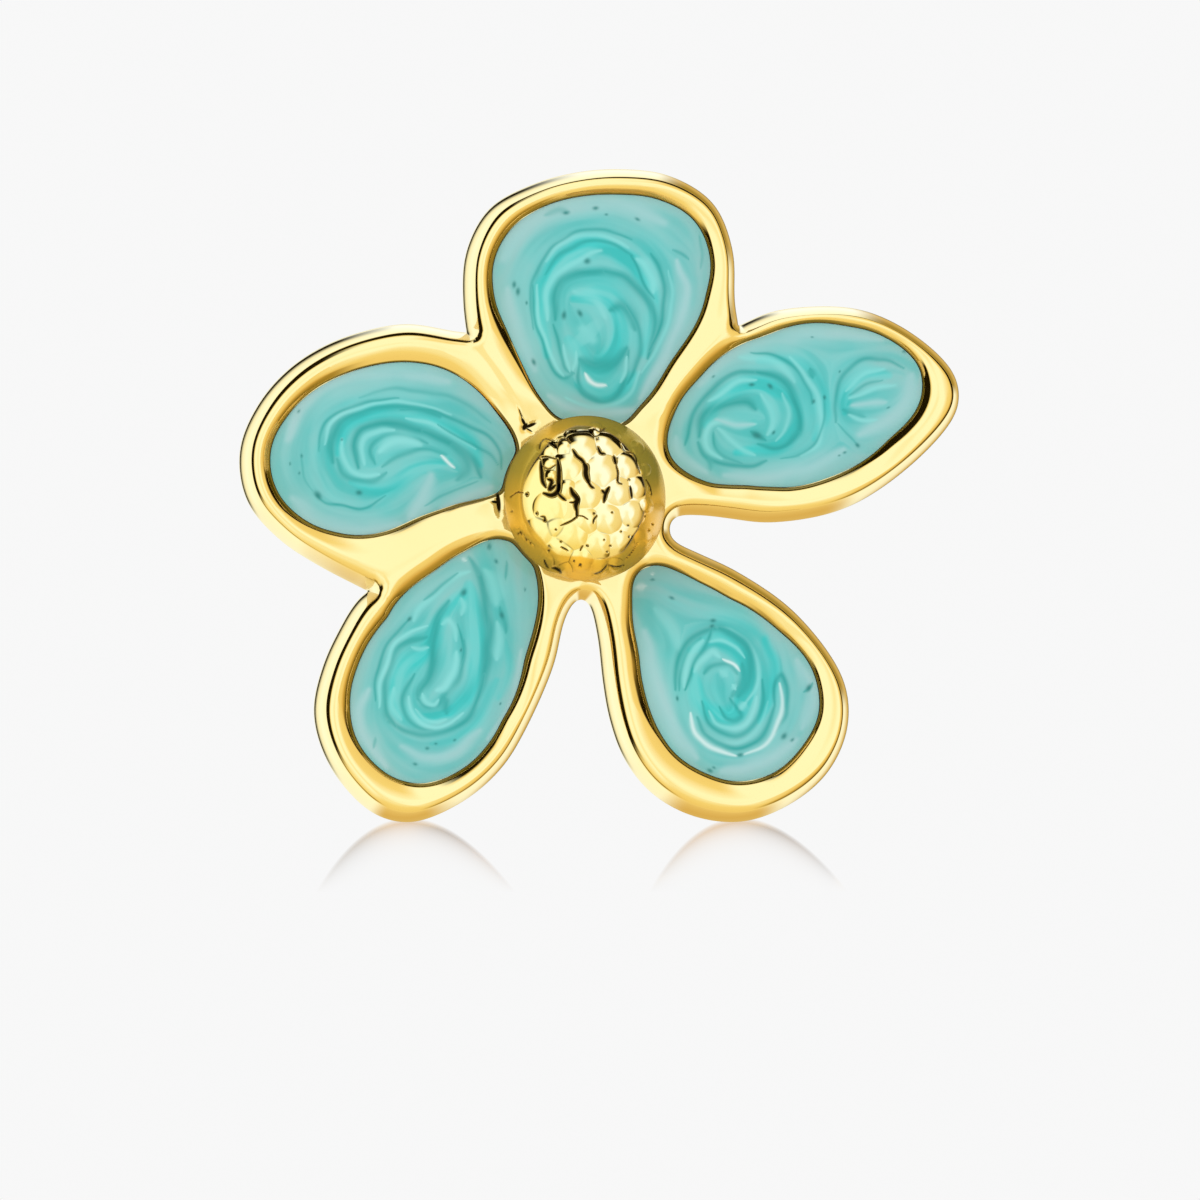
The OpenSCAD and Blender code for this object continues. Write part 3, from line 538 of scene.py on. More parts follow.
def table_radius(rows, turns):
    """Radius of a pocket in each direction, smooth all round, through the table's radii."""
    ways, radii, rims = np.array(rows, float).T
    at = np.concatenate([ways[-2:] - 360, ways, ways[:3] + 360])
    value = np.concatenate([radii[-2:], radii, radii[:3]])
    slope = np.zeros(len(at))
    slope[1:-1] = (value[2:] - value[:-2]) / (at[2:] - at[:-2])
    turned = ways[0] + (turns - ways[0]) % 360
    i = np.searchsorted(at, turned, side="right") - 1
    width = at[i + 1] - at[i]
    u = (turned - at[i]) / width
    v = 1 - u
    return (
        (1 + 2 * u) * v * v * value[i] + u * v * v * width * slope[i]
        + u * u * (3 - 2 * u) * value[i + 1] - u * u * v * width * slope[i + 1]
    )


def pocket_radius(petal, turns):
    smooth = blurred(table_radius(PETALS[petal]["rows"], POCKET_STEPS), POCKET_BLUR)
    drawn = np.interp(turns, POCKET_STEPS, smooth, period=360)
    middle = middle_of(petal)
    along = unit(turns) @ middle
    under = along ** 2 - middle @ middle + POCKET_CLEAR_R ** 2
    to_end = np.where((along < 0) & (under > 0), -along - np.sqrt(np.maximum(under, 0)), FAR)
    return soft_min(to_end, drawn, CORNER_ROUND)


def pocket_points(petal, turns, inset=0.0):
    radius = pocket_radius(petal, turns) - inset
    return middle_of(petal) + radius[:, None] * unit(turns)


# The outline at its widest, the crest above it and the loop round each petal.

OUTLINE_STEPS = 1400
DENSE_STEPS = 6000
STEPS_BETWEEN = 60
OUTLINE_BLUR = 0.22
NOTCH_BLUR = 0.03
NOTCH_REACH = 0.45
CREASE_STEPS = 56
END_STEPS = 36


def stations():
    """Points of the outline petal by petal, and where each petal's free edge begins and ends among them."""
    points, spans = [], {}
    for petal in NAMES:
        start = len(points) - 1
        for turn, pocket, rim in PETALS[petal]["rows"]:
            if rim > 0:
                points.append(middle_of(petal) + (pocket + rim) * unit(turn))
        spans[petal] = (start, len(points))
        points += [np.array(p) for p in GAPS[petal]["notch"]]
    return np.array(points), spans


def lengths_along(line):
    """Length along a closed line at each of its points, and at its first point again."""
    return np.concatenate([[0], np.cumsum(np.linalg.norm(np.roll(line, -1, 0) - line, axis=1))])


def resampled(line, along, places):
    ring = np.concatenate([line, line[:1]])
    return np.stack([np.interp(places, along, ring[:, i]) for i in range(ring.shape[1])], -1)


def inward(line):
    along = np.roll(line, -1, 0) - np.roll(line, 1, 0)
    return np.stack([-along[:, 1], along[:, 0]], -1) / np.linalg.norm(along, axis=1, keepdims=True)


def make_outline():
    """The outline, the way into the flower at each of its points, and where the stations lie in it."""
    points, spans = stations()
    steps = STEPS_BETWEEN
    corners = [i for i, p in enumerate(points) if any(gap["notch"] == [tuple(p)] for gap in GAPS.values())]
    ring = np.concatenate([points, points])
    parts = []
    for start, end in zip(corners, corners[1:] + [corners[0] + len(points)]):
        parts.append(open_curve(ring[start:end + 1], steps)[:-1])
    rough = np.roll(np.concatenate(parts), corners[0] * steps, axis=0)
    along = lengths_along(rough)
    step = along[-1] / DENSE_STEPS
    line = resampled(rough, along, np.arange(DENSE_STEPS) * step)
    notches = np.array([p for gap in GAPS.values() for p in gap["notch"] if len(gap["notch"]) == 1])
    near = np.min(np.linalg.norm(line[:, None] - notches[None], axis=2), axis=1)
    sharp = np.exp(-(near / NOTCH_REACH) ** 2)[:, None]
    line = between(blurred(line, OUTLINE_BLUR / step), blurred(line, NOTCH_BLUR / step), sharp)
    crest = line + SIDE_FLARE * inward(line)
    both = lengths_along(line) + lengths_along(crest)
    even = np.arange(OUTLINE_STEPS) * both[-1] / OUTLINE_STEPS
    at = both[np.round(along[np.arange(len(points)) * steps] / step).astype(int)]
    places = np.round(at / both[-1] * OUTLINE_STEPS).astype(int)
    rows = resampled(np.concatenate([line, inward(line)], -1), both, even)
    ends = {petal: tuple(places[i % len(points)] for i in span) for petal, span in spans.items()}
    return rows[:, :2], rows[:, 2:], ends


OUTLINE, INWARD, EDGE_SPANS = make_outline()
CREST = OUTLINE + SIDE_FLARE * INWARD


def before(petal):
    return NAMES[NAMES.index(petal) - 1]


def after(petal):
    return NAMES[(NAMES.index(petal) + 1) % len(NAMES)]


def stretch(line, start, end):
    """The points of a closed line from one place to another, both taken."""
    count = (end - start) % len(line)
    return line[(start + np.arange(count + 1)) % len(line)]


def web_line(petal, start, turn, shares):
    """A line after a petal, from the crest point start to the dome's seat."""
    gap = GAPS[petal]
    end = SEAT_R * unit(turn)
    middle = np.array(gap["crease"]) if "crease" in gap else (start + end) / 2
    s = np.array(shares)[:, None]
    return (1 - s) * (1 - 2 * s) * start + 4 * s * (1 - s) * middle + s * (2 * s - 1) * end


def seat_span(petal):
    start = GAPS[before(petal)]["web"][1] - (360 if petal == NAMES[0] else 0)
    return start, GAPS[petal]["web"][0]


def petal_loop(petal):
    """The closed loop round a petal, anticlockwise: free edge, crease, seat of the dome, crease."""
    edge = stretch(CREST, *EDGE_SPANS[petal])
    start, end = seat_span(petal)
    shares = np.arange(1, CREASE_STEPS) / CREASE_STEPS
    ahead = web_line(petal, edge[-1], end, shares)
    behind = web_line(before(petal), edge[0], start, shares)
    arc = SEAT_R * unit(np.linspace(end, start, END_STEPS + 1))
    return np.concatenate([edge, ahead, arc, behind[::-1]])


# The gold casting. Its face is a height above each flat point, from the distances to the pockets' edges and
# to the crest: a small round shoulder beside the enamel, a gentle arch, and a wider roll down to the crest.

NARROW_SHOULDER = 0.1
WIDE_SHOULDER = 0.42
SHOULDER_RISE = 0.31
# A small steep lip right beside the enamel.
LIP = 0.04
LIP_H = 0.024
# Between which directions from its middle a petal's shoulder is wide.
WIDE = {
    "right": (-20, 205), "top": (45, 205), "left": (45, 205), "lower_left": (70, 205),
    "lower_right": (45, 205),
}
WIDE_FADE = 25
# Where the shoulder is steeper, at the right end of a pocket: direction, reach in degrees, extra rise for
# each mm of width, and extra width.
STEEPER = {
    "right": (0, 17, 0.15, 0),
    "top": (17, 10, 0.06, 0),
    "left": (0, 10, 0, 0),
    "lower_left": (14, 34, 0.35, 0.14),
    "lower_right": (-14, 15, 0.14, 0),
}
SHOULDER_SHARE = 0.48
# The roll down to the crest, and the narrower one at a petal's right side.
ROLL = 0.27
NARROW_ROLL = 0.09
NARROW_TURN = 5
NARROW_REACH = 55
NARROW_FADE = 25
ROLL_SHARE = 0.5
ROLL_DROP = 0.42
ARCH = 0.09
ARCH_WIDTH = 1.0
WEB_REACH = 0.5
WEB_ROUND = 0.3
LEVEL_REACH = 0.3
POCKET_MEET = 0.12
CONE_ROUND = 0.02
SHOULDER_STEPS = (0, 0.03, 0.07, 0.12, 0.18, 0.28, 0.42, 0.62, 0.85, 1.1)
ROLL_STEPS = (1.15, 0.85, 0.6, 0.4, 0.24, 0.12, 0)
MIDDLE_STEPS = 10
WALL_DEPTHS = (0.02, 0.05, 0.12)

POCKET_LINES = {petal: pocket_points(petal, POCKET_STEPS) for petal in NAMES}

# The valley along the crease after the top petal: half width and depth, how round its bottom is, and in
# which share of its length it grows from nothing at the flower's edge.
VALLEY_WIDTH = 1.5
VALLEY_DEPTH = 0.24
VALLEY_ROUND = 0.35
VALLEY_GROWS = 0.625
VALLEY_STEPS = 40
# Small oval pits in the face, shallow dents that are painted dark as shade, charted on the photograph:
# middle, half length and half width in its pixels, and which way they run.
PITS = [
    (525.4, 427, 3.8, 2.3, 60), (524, 422.3, 4.2, 1.5, 116), (521.2, 415, 6, 0.5, 108),
    (530.8, 425.8, 5.8, 1.6, 22), (529.5, 430.3, 3.5, 0.8, -30),
    (498.3, 503, 9.5, 2.1, -85), (495.5, 502.5, 4, 1.4, -10),
]
PIT_DEPTH = 0.03


def distance_to(points, line):
    """Distance from flat points to a closed line whose points are close together."""
    parts = np.array_split(points, len(points) // 400 + 1)
    nearest = np.concatenate([np.argmin(((p[:, None] - line[None]) ** 2).sum(-1), axis=1) for p in parts])
    best = np.full(len(points), 1e9)
    a = line[nearest]
    for step in (-1, 1):
        way = line[(nearest + step) % len(line)] - a
        t = np.clip(((points - a) * way).sum(-1) / (way * way).sum(-1), 0, 1)
        best = np.minimum(best, np.linalg.norm(points - a - t[:, None] * way, axis=1))
    return best


def flat_place(px, z=CREST_Z):
    """Flat point of the flower that the photograph shows at a pixel, at height z."""
    px = np.array(px, float)
    x = (px[..., 0] - AXIS_PX[0]) / PX_PER_MM - SEEN_FROM_LEFT * z
    y = (AXIS_PX[1] - px[..., 1]) / PX_PER_MM - SEEN_FROM_BELOW * z
    return np.stack([x, y], -1)


def marks(flat):
    """How much the valley and the pits lower the face at flat points."""
    start = CREST[EDGE_SPANS["top"][1] % len(CREST)]
    line = web_line("top", start, GAPS["top"]["web"][0], np.linspace(0, 1, VALLEY_STEPS))
    away, share = near_line(flat, line)
    away = np.hypot(away, VALLEY_ROUND)
    drop = VALLEY_DEPTH * smooth_step(share / VALLEY_GROWS) * np.clip(1 - away / VALLEY_WIDTH, 0, 1) ** 2
    return drop + PIT_DEPTH * in_pits(flat)


def in_pits(flat):
    """How deep in a pit each flat point of the face is, from 0 to 1."""
    depth = np.zeros(len(flat))
    for x, y, length, width, turn in PITS:
        offset = (flat - flat_place((x, y))) * PX_PER_MM
        away = np.hypot(offset @ unit(turn) / length, offset @ unit(turn + 90) / width)
        depth = np.maximum(depth, smooth_step(2 - away))
    return depth


def near_line(points, line):
    """Distance from each point to a line of points, and how far along the line its nearest point is."""
    distance = np.full(len(points), 1e9)
    share = np.zeros(len(points))
    last = len(line) - 1
    for i in range(last):
        a, step = line[i], line[i + 1] - line[i]
        t = np.clip((points - a) @ step / max(step @ step, 1e-9), 0, 1)
        away = np.linalg.norm(points - a - t[:, None] * step, axis=1)
        closer = away < distance
        distance[closer] = away[closer]
        share[closer] = (i + t[closer]) / last
    return distance, share


def shoulder_width(petal, flat):
    """Width of the shoulder beside a pocket: wide round its upper side, narrow below."""
    first, last = WIDE[petal]
    away = np.abs(turned_from(direction(flat - middle_of(petal)), (first + last) / 2))
    share = smooth_step(((last - first) / 2 + WIDE_FADE - away) / (2 * WIDE_FADE))
    return between(NARROW_SHOULDER, WIDE_SHOULDER, share) + STEEPER[petal][3] * near_right_end(petal, flat)


def near_right_end(petal, flat):
    """How near flat points are to where a petal's shoulder is steeper, from 0 to 1."""
    turn, reach = STEEPER[petal][:2]
    away = turned_from(direction(flat - middle_of(petal)), turn)
    return np.exp(-(away / reach) ** 2)


def shoulder_rise(petal, flat):
    """How much the shoulder rises for each mm of its width."""
    return SHOULDER_RISE + STEEPER[petal][2] * near_right_end(petal, flat)


def roll_width(petal, flat):
    """Width of the roll down to the crest: narrow at a petal's right side."""
    away = np.abs(turned_from(direction(flat - middle_of(petal)), NARROW_TURN))
    return between(NARROW_ROLL, ROLL, smooth_step((away - NARROW_REACH + NARROW_FADE) / (2 * NARROW_FADE)))


def face_height(flat, petals):
    """Height of the polished face at flat points, between the pockets of these petals and the crest."""
    flat = flat.reshape(-1, 2)
    nearness = [np.exp(-distance_to(flat, POCKET_LINES[petal]) / POCKET_MEET) for petal in petals]
    all_near = np.maximum(sum(nearness), 1e-30)

    def blended(of_petal):
        return sum(near * of_petal(petal, flat) for near, petal in zip(nearness, petals)) / all_near

    inner = np.maximum(0, -POCKET_MEET * np.log(all_near))
    outer = distance_to(flat, CREST)
    width = inner + np.minimum(outer, soft_min(outer, WEB_REACH, WEB_ROUND)) + 1e-6
    share = inner / width
    shoulder = np.minimum(blended(shoulder_width), SHOULDER_SHARE * width)
    roll = np.minimum(blended(roll_width), ROLL_SHARE * width)
    round_in = np.maximum(0, 1 - inner / shoulder) ** 2
    round_out = np.maximum(0, 1 - outer / roll) ** 2
    lip_in = np.maximum(0, 1 - inner / LIP) ** 2
    lip_z = POCKET_EDGE_Z + LIP_H
    height = between(lip_z + blended(shoulder_rise) * shoulder, CREST_Z + ROLL_DROP * roll, share)
    height += ARCH * np.minimum(width, ARCH_WIDTH) * 4 * share * (1 - share)
    away = np.linalg.norm(flat, axis=1)
    level = smooth_step((HUB_TO_R - away) / (HUB_TO_R - HUB_FROM_R)) * smooth_step(outer / LEVEL_REACH)
    height = between(height, HUB_Z, level)
    height -= (height - lip_z) * round_in + LIP_H * lip_in + ROLL_DROP * roll * round_out + marks(flat)
    cone = SEAT_Z + np.maximum(0, CONE_SLOPE * (away - SEAT_R))
    return np.minimum(height, soft_min(height, cone, CONE_ROUND))


def face_points(flat, petals):
    return lifted(flat, face_height(flat, petals).reshape(flat.shape[:-1]))


def rim_rows(petal):
    """Rows of points across a petal's rim, from the pocket's edge to the loop round the petal."""
    loop = petal_loop(petal)
    inner = pocket_points(petal, direction(loop - middle_of(petal)))
    width = np.linalg.norm(loop - inner, axis=1)
    shoulder = np.minimum(shoulder_width(petal, loop), SHOULDER_SHARE * width)
    near = [shoulder * step / width for step in SHOULDER_STEPS]
    roll = np.minimum(roll_width(petal, loop), ROLL_SHARE * width)
    far = [1 - roll * step / width for step in ROLL_STEPS]
    middle = [between(near[-1], far[0], i / MIDDLE_STEPS) for i in range(1, MIDDLE_STEPS)]
    shares = np.array(near + middle + far)[..., None]
    rows = face_points(between(inner, loop, shares), (before(petal), petal, after(petal)))
    rows[0, :, 2] = POCKET_EDGE_Z
    return rows


# Points that draw the side's curve from the crest to the widest line: how far outside that line, and height.
SIDE_CURVE = [
    (-SIDE_FLARE, CREST_Z), (-SIDE_FLARE + 0.05, CREST_Z - 0.07), (-0.04, WIDEST_Z + 0.5), (0, WIDEST_Z),
]
SIDE_STEPS = 14
SIDE_CROWDING = 1.8
BACK_STEPS = 5


def side_profile():
    """The side's section from the crest down to the back: how far outside the widest line, and height."""
    t = (np.arange(SIDE_STEPS + 1) / SIDE_STEPS)[:, None] ** SIDE_CROWDING
    curve = sum(math.comb(3, i) * t ** i * (1 - t) ** (3 - i) * np.array(p) for i, p in enumerate(SIDE_CURVE))
    turn = np.radians(np.arange(1, BACK_STEPS + 1) * 90 / BACK_STEPS)
    back = np.stack([BACK_ROUND * (np.cos(turn) - 1), WIDEST_Z * (1 - np.sin(turn))], -1)
    return np.concatenate([curve, back])


def side_rows():
    rows = [face_points(CREST, NAMES)]
    for out, height in side_profile()[1:]:
        rows.append(lifted(OUTLINE - out * INWARD, height))
    return np.array(rows)


def closed_rows(rows):
    return np.concatenate([rows, rows[:, :1]], axis=1)


def fan_rows(centre, loop):
    """Two rows that close a loop with a fan round its centre."""
    return np.stack([np.broadcast_to(centre, loop.shape), loop])


def petal_patches(petal, back):
    """The pocket, the rim and the back of one petal."""
    middle = middle_of(petal)
    rim = rim_rows(petal)
    edge = rim[0]
    wall = [lifted(edge[:, :2], POCKET_FLOOR_Z)]
    wall += [lifted(edge[:, :2], POCKET_EDGE_Z - depth) for depth in reversed(WALL_DEPTHS)]
    front = closed_rows(np.concatenate([np.array(wall), rim]))
    start, end = seat_span(petal)
    arc = lifted(SEAT_R * unit(np.linspace(end, start, END_STEPS + 1)), 0)
    behind = np.concatenate([stretch(back, *EDGE_SPANS[petal]), arc])
    behind = np.concatenate([behind, behind[:1]])
    return [
        fan_rows(lifted(middle, POCKET_FLOOR_Z), front[0]),
        front,
        fan_rows(lifted(middle, 0), behind)[::-1],
        *seat_patches(np.linspace(start, end, END_STEPS + 1)),
    ]


def web_patches(petal, back):
    """The short web where the outline passes between two petals close to the dome."""
    start, end = EDGE_SPANS[petal][1], EDGE_SPANS[after(petal)][0]
    edge = stretch(CREST, start, end)
    if len(edge) < 2:
        return []
    turns = np.linspace(*GAPS[petal]["web"], len(edge))
    shares = np.arange(CREASE_STEPS, -1, -1) / CREASE_STEPS
    columns = [web_line(petal, p, turn, shares) for p, turn in zip(edge, turns)]
    rows = face_points(np.stack(columns, axis=1), (petal, after(petal)))
    behind = np.stack([stretch(back, start, end), lifted(SEAT_R * unit(turns), 0)])
    return [rows, behind, *seat_patches(turns)]


def seat_patches(turns):
    """The dome's seat between two directions, and the back under it."""
    arc = SEAT_R * unit(turns)
    top, bottom = lifted(arc, SEAT_Z), lifted(arc, 0)
    return [
        fan_rows(np.array([0, 0, SEAT_Z]), top),
        fan_rows(np.array([0, 0, 0.0]), bottom)[::-1],
    ]


# Meshes from rows of points.

MERGE_MM = 0.0005
SHARP_DEGREES = 50
# Faces that look straight back are shaded flat.
FACES_BACK = -0.99999


def place(points):
    """Points of the flower's frame, in metres in the model's frame."""
    return np.array(BACK_CENTRE) + MM * (points @ np.array([RIGHT, UP, FACE]))


def rows_to_faces(patches):
    """One list of vertices and one of faces for a list of patches, each a grid of points."""
    vertices, faces, first = [], [], 0
    for rows in patches:
        m, n = rows.shape[:2]
        index = first + np.arange(m * n).reshape(m, n)
        quads = np.stack([index[:-1, :-1], index[1:, :-1], index[1:, 1:], index[:-1, 1:]], -1)
        vertices.append(rows.reshape(-1, 3))
        faces.append(quads.reshape(-1, 4))
        first += m * n
    return np.concatenate(vertices), np.concatenate(faces)


def make_piece(name, patches, material, node, values=None):
    """A smooth closed piece from patches that share their edges. values gives attributes at its points."""
    vertices, faces = rows_to_faces(patches)
    mesh = bpy.data.meshes.new(name)
    mesh.from_pydata(place(vertices), [], faces)
    body = bmesh.new()
    body.from_mesh(mesh)
    bmesh.ops.remove_doubles(body, verts=body.verts, dist=MERGE_MM * MM)
    bmesh.ops.dissolve_degenerate(body, edges=body.edges, dist=MERGE_MM * MM / 10)
    bmesh.ops.recalc_face_normals(body, faces=body.faces)
    body.to_mesh(mesh)
    body.free()
    mesh.shade_smooth()
    mesh.set_sharp_from_angle(angle=math.radians(SHARP_DEGREES))
    mesh.polygons.foreach_set("use_smooth", [face.normal.dot(FACE) > FACES_BACK for face in mesh.polygons])
    if values is not None:
        for key, numbers in values(flat_points(mesh)).items():
            attribute = mesh.attributes.new(key, "FLOAT", "POINT")
            attribute.data.foreach_set("value", numbers.astype(np.float32))
    mesh.materials.append(material)
    piece = bpy.data.objects.new(name, mesh)
    bpy.context.scene.collection.objects.link(piece)
    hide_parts(node)
    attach(piece, "root")


def flat_points(mesh):
    """A mesh's vertices back in the flower's frame, in millimetres."""
    co = np.zeros(len(mesh.vertices) * 3)
    mesh.vertices.foreach_get("co", co)
    return (co.reshape(-1, 3) - np.array(BACK_CENTRE)) @ np.array([RIGHT, UP, FACE]).T / MM


# The enamel and its marbling.

ENAMEL_RINGS = 92
ENAMEL_TURNS = 400
ENAMEL_WALL = 0.03
STROKE_STEPS = 10
STROKE_END = 0.15
FLOW_CELL = 4
FLOW_STEPS = 3
STREAK_STEP = 1.3
BEND_CELL = 18
BEND_PX = 1.0
# Size of the random cells that the fine and the broad streaks are drawn out from, and their steps each way.
FINE_STREAKS = (2.6, 22)
BROAD_STREAKS = (7, 34)
# A speck's size along and across the flow, against the charted one.
SPECK_ALONG = 0.85 / 0.75
SPECK_ACROSS = 0.85 / 1.2
SPECK_EDGE = 2.5


def enamel_patches(petal):
    turns = np.arange(ENAMEL_TURNS + 1) * 360 / ENAMEL_TURNS
    edge = pocket_points(petal, turns % 360, ENAMEL_GAP)
    middle = middle_of(petal)
    shares = np.linspace(0, 1, ENAMEL_RINGS + 1)
    top = [lifted(between(middle, edge, s), ENAMEL_EDGE_Z + ENAMEL_CROWN * (1 - s * s)) for s in shares]
    bottom_z = POCKET_FLOOR_Z + ENAMEL_GAP
    walls = [lifted(edge, z) for z in (ENAMEL_EDGE_Z - ENAMEL_WALL, bottom_z)]
    closing = fan_rows(lifted(middle, bottom_z), lifted(edge, bottom_z))[::-1]
    return [np.array(top + walls), closing]


def photo_px(points):
    """Where the photograph sees points of the flower's frame, in its pixels."""
    x, y, z = points.T
    right = AXIS_PX[0] + PX_PER_MM * (x + SEEN_FROM_LEFT * z)
    down = AXIS_PX[1] - PX_PER_MM * (y + SEEN_FROM_BELOW * z)
    return np.stack([right, down], -1)


class Cells:
    """Seeded random numbers on a grid of square cells over the photograph, smooth in between."""

    def __init__(self, seed, size):
        self.size = size
        count = int(PHOTO_PX / size) + 3
        self.values = np.random.default_rng(seed).standard_normal((count, count))

    def at(self, px):
        cell = px / self.size
        low = np.floor(cell).astype(int)
        u = smooth_step(cell - low)
        i, j = low[:, 0], low[:, 1]
        left = between(self.values[i, j], self.values[i, j + 1], u[:, 1])
        right = between(self.values[i + 1, j], self.values[i + 1, j + 1], u[:, 1])
        return between(left, right, u[:, 0])


class Flow:
    """Which way the marbling runs: along the nearest strokes, read from a grid over the petal."""

    def __init__(self, px, strokes):
        self.low = px.min(0) - 2 * FLOW_CELL
        counts = ((px.max(0) - self.low) / FLOW_CELL).astype(int) + 4
        grid = self.low + FLOW_CELL * np.stack(np.meshgrid(*map(np.arange, counts), indexing="ij"), -1)
        turned = np.zeros((*counts, 2))
        for kind, width, strength, *places in strokes:
            line = open_curve(places, FLOW_STEPS)
            middles, steps = (line[1:] + line[:-1]) / 2, line[1:] - line[:-1]
            twice = 2 * np.arctan2(steps[:, 1], steps[:, 0])
            size = np.linalg.norm(steps, axis=1)
            for middle, angle, length in zip(middles, twice, size):
                weight = length / (((grid - middle) ** 2).sum(-1) + FLOW_CELL ** 2) ** 1.5
                turned += weight[..., None] * np.array([math.cos(angle), math.sin(angle)])
        self.turned = turned / np.linalg.norm(turned, axis=-1, keepdims=True)

    def way(self, px):
        cell = np.clip((px - self.low) / FLOW_CELL, 0, np.array(self.turned.shape[:2]) - 1.01)
        low = cell.astype(int)
        u, v = (cell - low).T[..., None]
        i, j = low.T
        left = between(self.turned[i, j], self.turned[i, j + 1], v)
        right = between(self.turned[i + 1, j], self.turned[i + 1, j + 1], v)
        twice = between(left, right, u)
        turn = np.arctan2(twice[:, 1], twice[:, 0]) / 2
        return np.stack([np.cos(turn), np.sin(turn)], -1)


def streaks(px, flow, seed, size, steps):
    """Random streaks that run along the flow: the values of cells, averaged over steps both ways."""
    cells = Cells(seed, size)
    total = cells.at(px)
    for sign in (1, -1):
        at, way = px, sign * flow.way(px)
        for step in range(steps):
            at = at + STREAK_STEP * way
            turned = flow.way(at)
            way = turned * np.sign((turned * way).sum(-1, keepdims=True) + 1e-9)
            total = total + (1 - step / steps) * cells.at(at)
    return total / total.std()


def paint(px, strokes):
    """How much of each kind of colour the strokes leave at pixels, later ones over earlier ones."""
    found = {kind: np.zeros(len(px)) for kind in ("body", "pale", "dark", "light", "white")}
    for kind, width, strength, *places in strokes:
        away, share = near_line(px, open_curve(places, STROKE_STEPS))
        cover = strength * np.exp(-(away / (width * tapered(share, STROKE_END))) ** 2)
        for other in found:
            # The body is covered by pale strokes alone.
            if other != "body" or kind == "pale":
                found[other] = found[other] * (1 - cover)
        found[kind] = found[kind] + cover * (1 - found[kind])
    return found


def marbling(petal):
    """A function that gives the marbling's attributes at points of one enamel filling."""
    strokes = SWIRLS[petal]
    seed = 10 * NAMES.index(petal)
    bend = Cells(seed + 1, BEND_CELL), Cells(seed + 2, BEND_CELL)

    def values(points):
        px = photo_px(points)
        flow = Flow(px, strokes)
        bent = px + BEND_PX * np.stack([cells.at(px) for cells in bend], -1)
        found = paint(bent, strokes)
        fine = streaks(px, flow, seed + 3, *FINE_STREAKS)
        broad = streaks(px, flow, seed + 4, *BROAD_STREAKS)
        from_middle = points[:, :2] - middle_of(petal)
        share = np.linalg.norm(from_middle, axis=1) / pocket_radius(petal, direction(from_middle))
        speck = np.zeros(len(px))
        for x, y, size in SPECKS[petal]:
            way = flow.way(np.array([[x, y]]))[0]
            offset = bent - (x, y)
            along, across = offset @ way, offset @ np.array([-way[1], way[0]])
            away = np.hypot(along / SPECK_ALONG, across / SPECK_ACROSS) / size
            speck = np.maximum(speck, np.exp(-away ** SPECK_EDGE))
        return {**found, "fine": fine, "broad": broad, "speck": speck, "share": share}

    return values


# The dome and the post.

DOME_TURNS = 500
DOME_RINGS = 135
DOME_FALL_STEPS = 500
DOME_FADE = 0.3
# How much further in the rings beside the dome's widest line lie, so that its steep foot is drawn smoothly.
RINGS_IN = 1.2
UNDER_RINGS = 8
UNDER_CURVE = 1.2
# The right side of the dome stands in: by which share of its radius, over how many degrees.
DOME_FLAT = 0.02
DOME_FLAT_REACH = 32
PEBBLE_LIFT = 1.3
GROOVE_DEPTH = 0.05
CREVICE_STEPS = 8
CREVICE_END = 0.2
CREVICE_EDGE = 1.5
# Where the dome's relief is calmer: direction, reach in degrees, from which radius on, and how much.
CALM_TURN = 212
CALM_REACH = 38
CALM_R = 0.7
CALM_FADE = 0.4
CALM_SHARE = 0.6
# Two pebbles meet in a seam where they differ by less than this height. Seams get painted shade in seeded
# patches.
SEAM_H = 0.014
SEAM_SHADE = 0.75
SEAM_SEED = 5
SEAM_CELL = 9
SEAM_MEAN = 0.45
SEAM_SPREAD = 0.5
# The dome's gold is painted palest, as if lit, in this direction from its axis, and warmer, as painted
# shade, on the other side.
PALE_TURN = 30
SIDE_SHADE_MEAN = 0.45
SIDE_SHADE_SLOPE = 0.55
# Above this height the dome's shades are drawn.
SHADES_Z = 1.3
RING_EDGE = 0.07
POST_STEPS = 64
TIP_STEPS = 12


def dome_drop(radius, tilts):
    """How far the dome has fallen from its top at each radius, from its steepness."""
    r = np.linspace(0, DOME_R, DOME_FALL_STEPS)
    slope = np.tan(np.radians(np.interp(r, *np.array(tilts, float).T)))
    fall = np.concatenate([[0], np.cumsum((slope[1:] + slope[:-1]) / 2 * np.diff(r))])
    return np.interp(radius, r, fall)


def dome_surface(flat):
    """The dome's surface without its pebbles."""
    radius = np.linalg.norm(flat, axis=-1)
    drop = np.zeros(radius.shape)
    for turn, tilts in DOME_TILTS.items():
        away = np.abs(turned_from(direction(flat), turn))
        drop += smooth_step(1 - away / 90) * dome_drop(radius, tilts)
    return lifted(flat, DOME_TOP_Z - drop)


def on_dome(px):
    """Flat points of the dome that the photograph shows at pixels."""
    flat = flat_place(px, DOME_TOP_Z)
    for _ in range(3):
        flat = flat_place(px, np.array(dome_surface(flat))[..., 2])
    return flat


def calm(flat):
    """Where the dome is smoother, at its lower left, from 0 to 1."""
    away = turned_from(direction(flat), CALM_TURN)
    outside = (np.linalg.norm(flat, axis=-1) - CALM_R) / CALM_FADE
    return np.exp(-(away / CALM_REACH) ** 2) * smooth_step(outside)


def pebble_rises(flat):
    """How much each pebble would lift each flat point of the dome, the two highest."""
    best = np.zeros((2, len(flat)))
    for x, y, size in PEBBLES:
        away = np.linalg.norm(flat - on_dome((x, y)), axis=-1) * PX_PER_MM / size
        rise = PEBBLE_H * np.maximum(0, PEBBLE_LIFT - away ** 2)
        best[1] = np.maximum(best[1], np.minimum(best[0], rise))
        best[0] = np.maximum(best[0], rise)
    return best * (1 - CALM_SHARE * calm(flat))


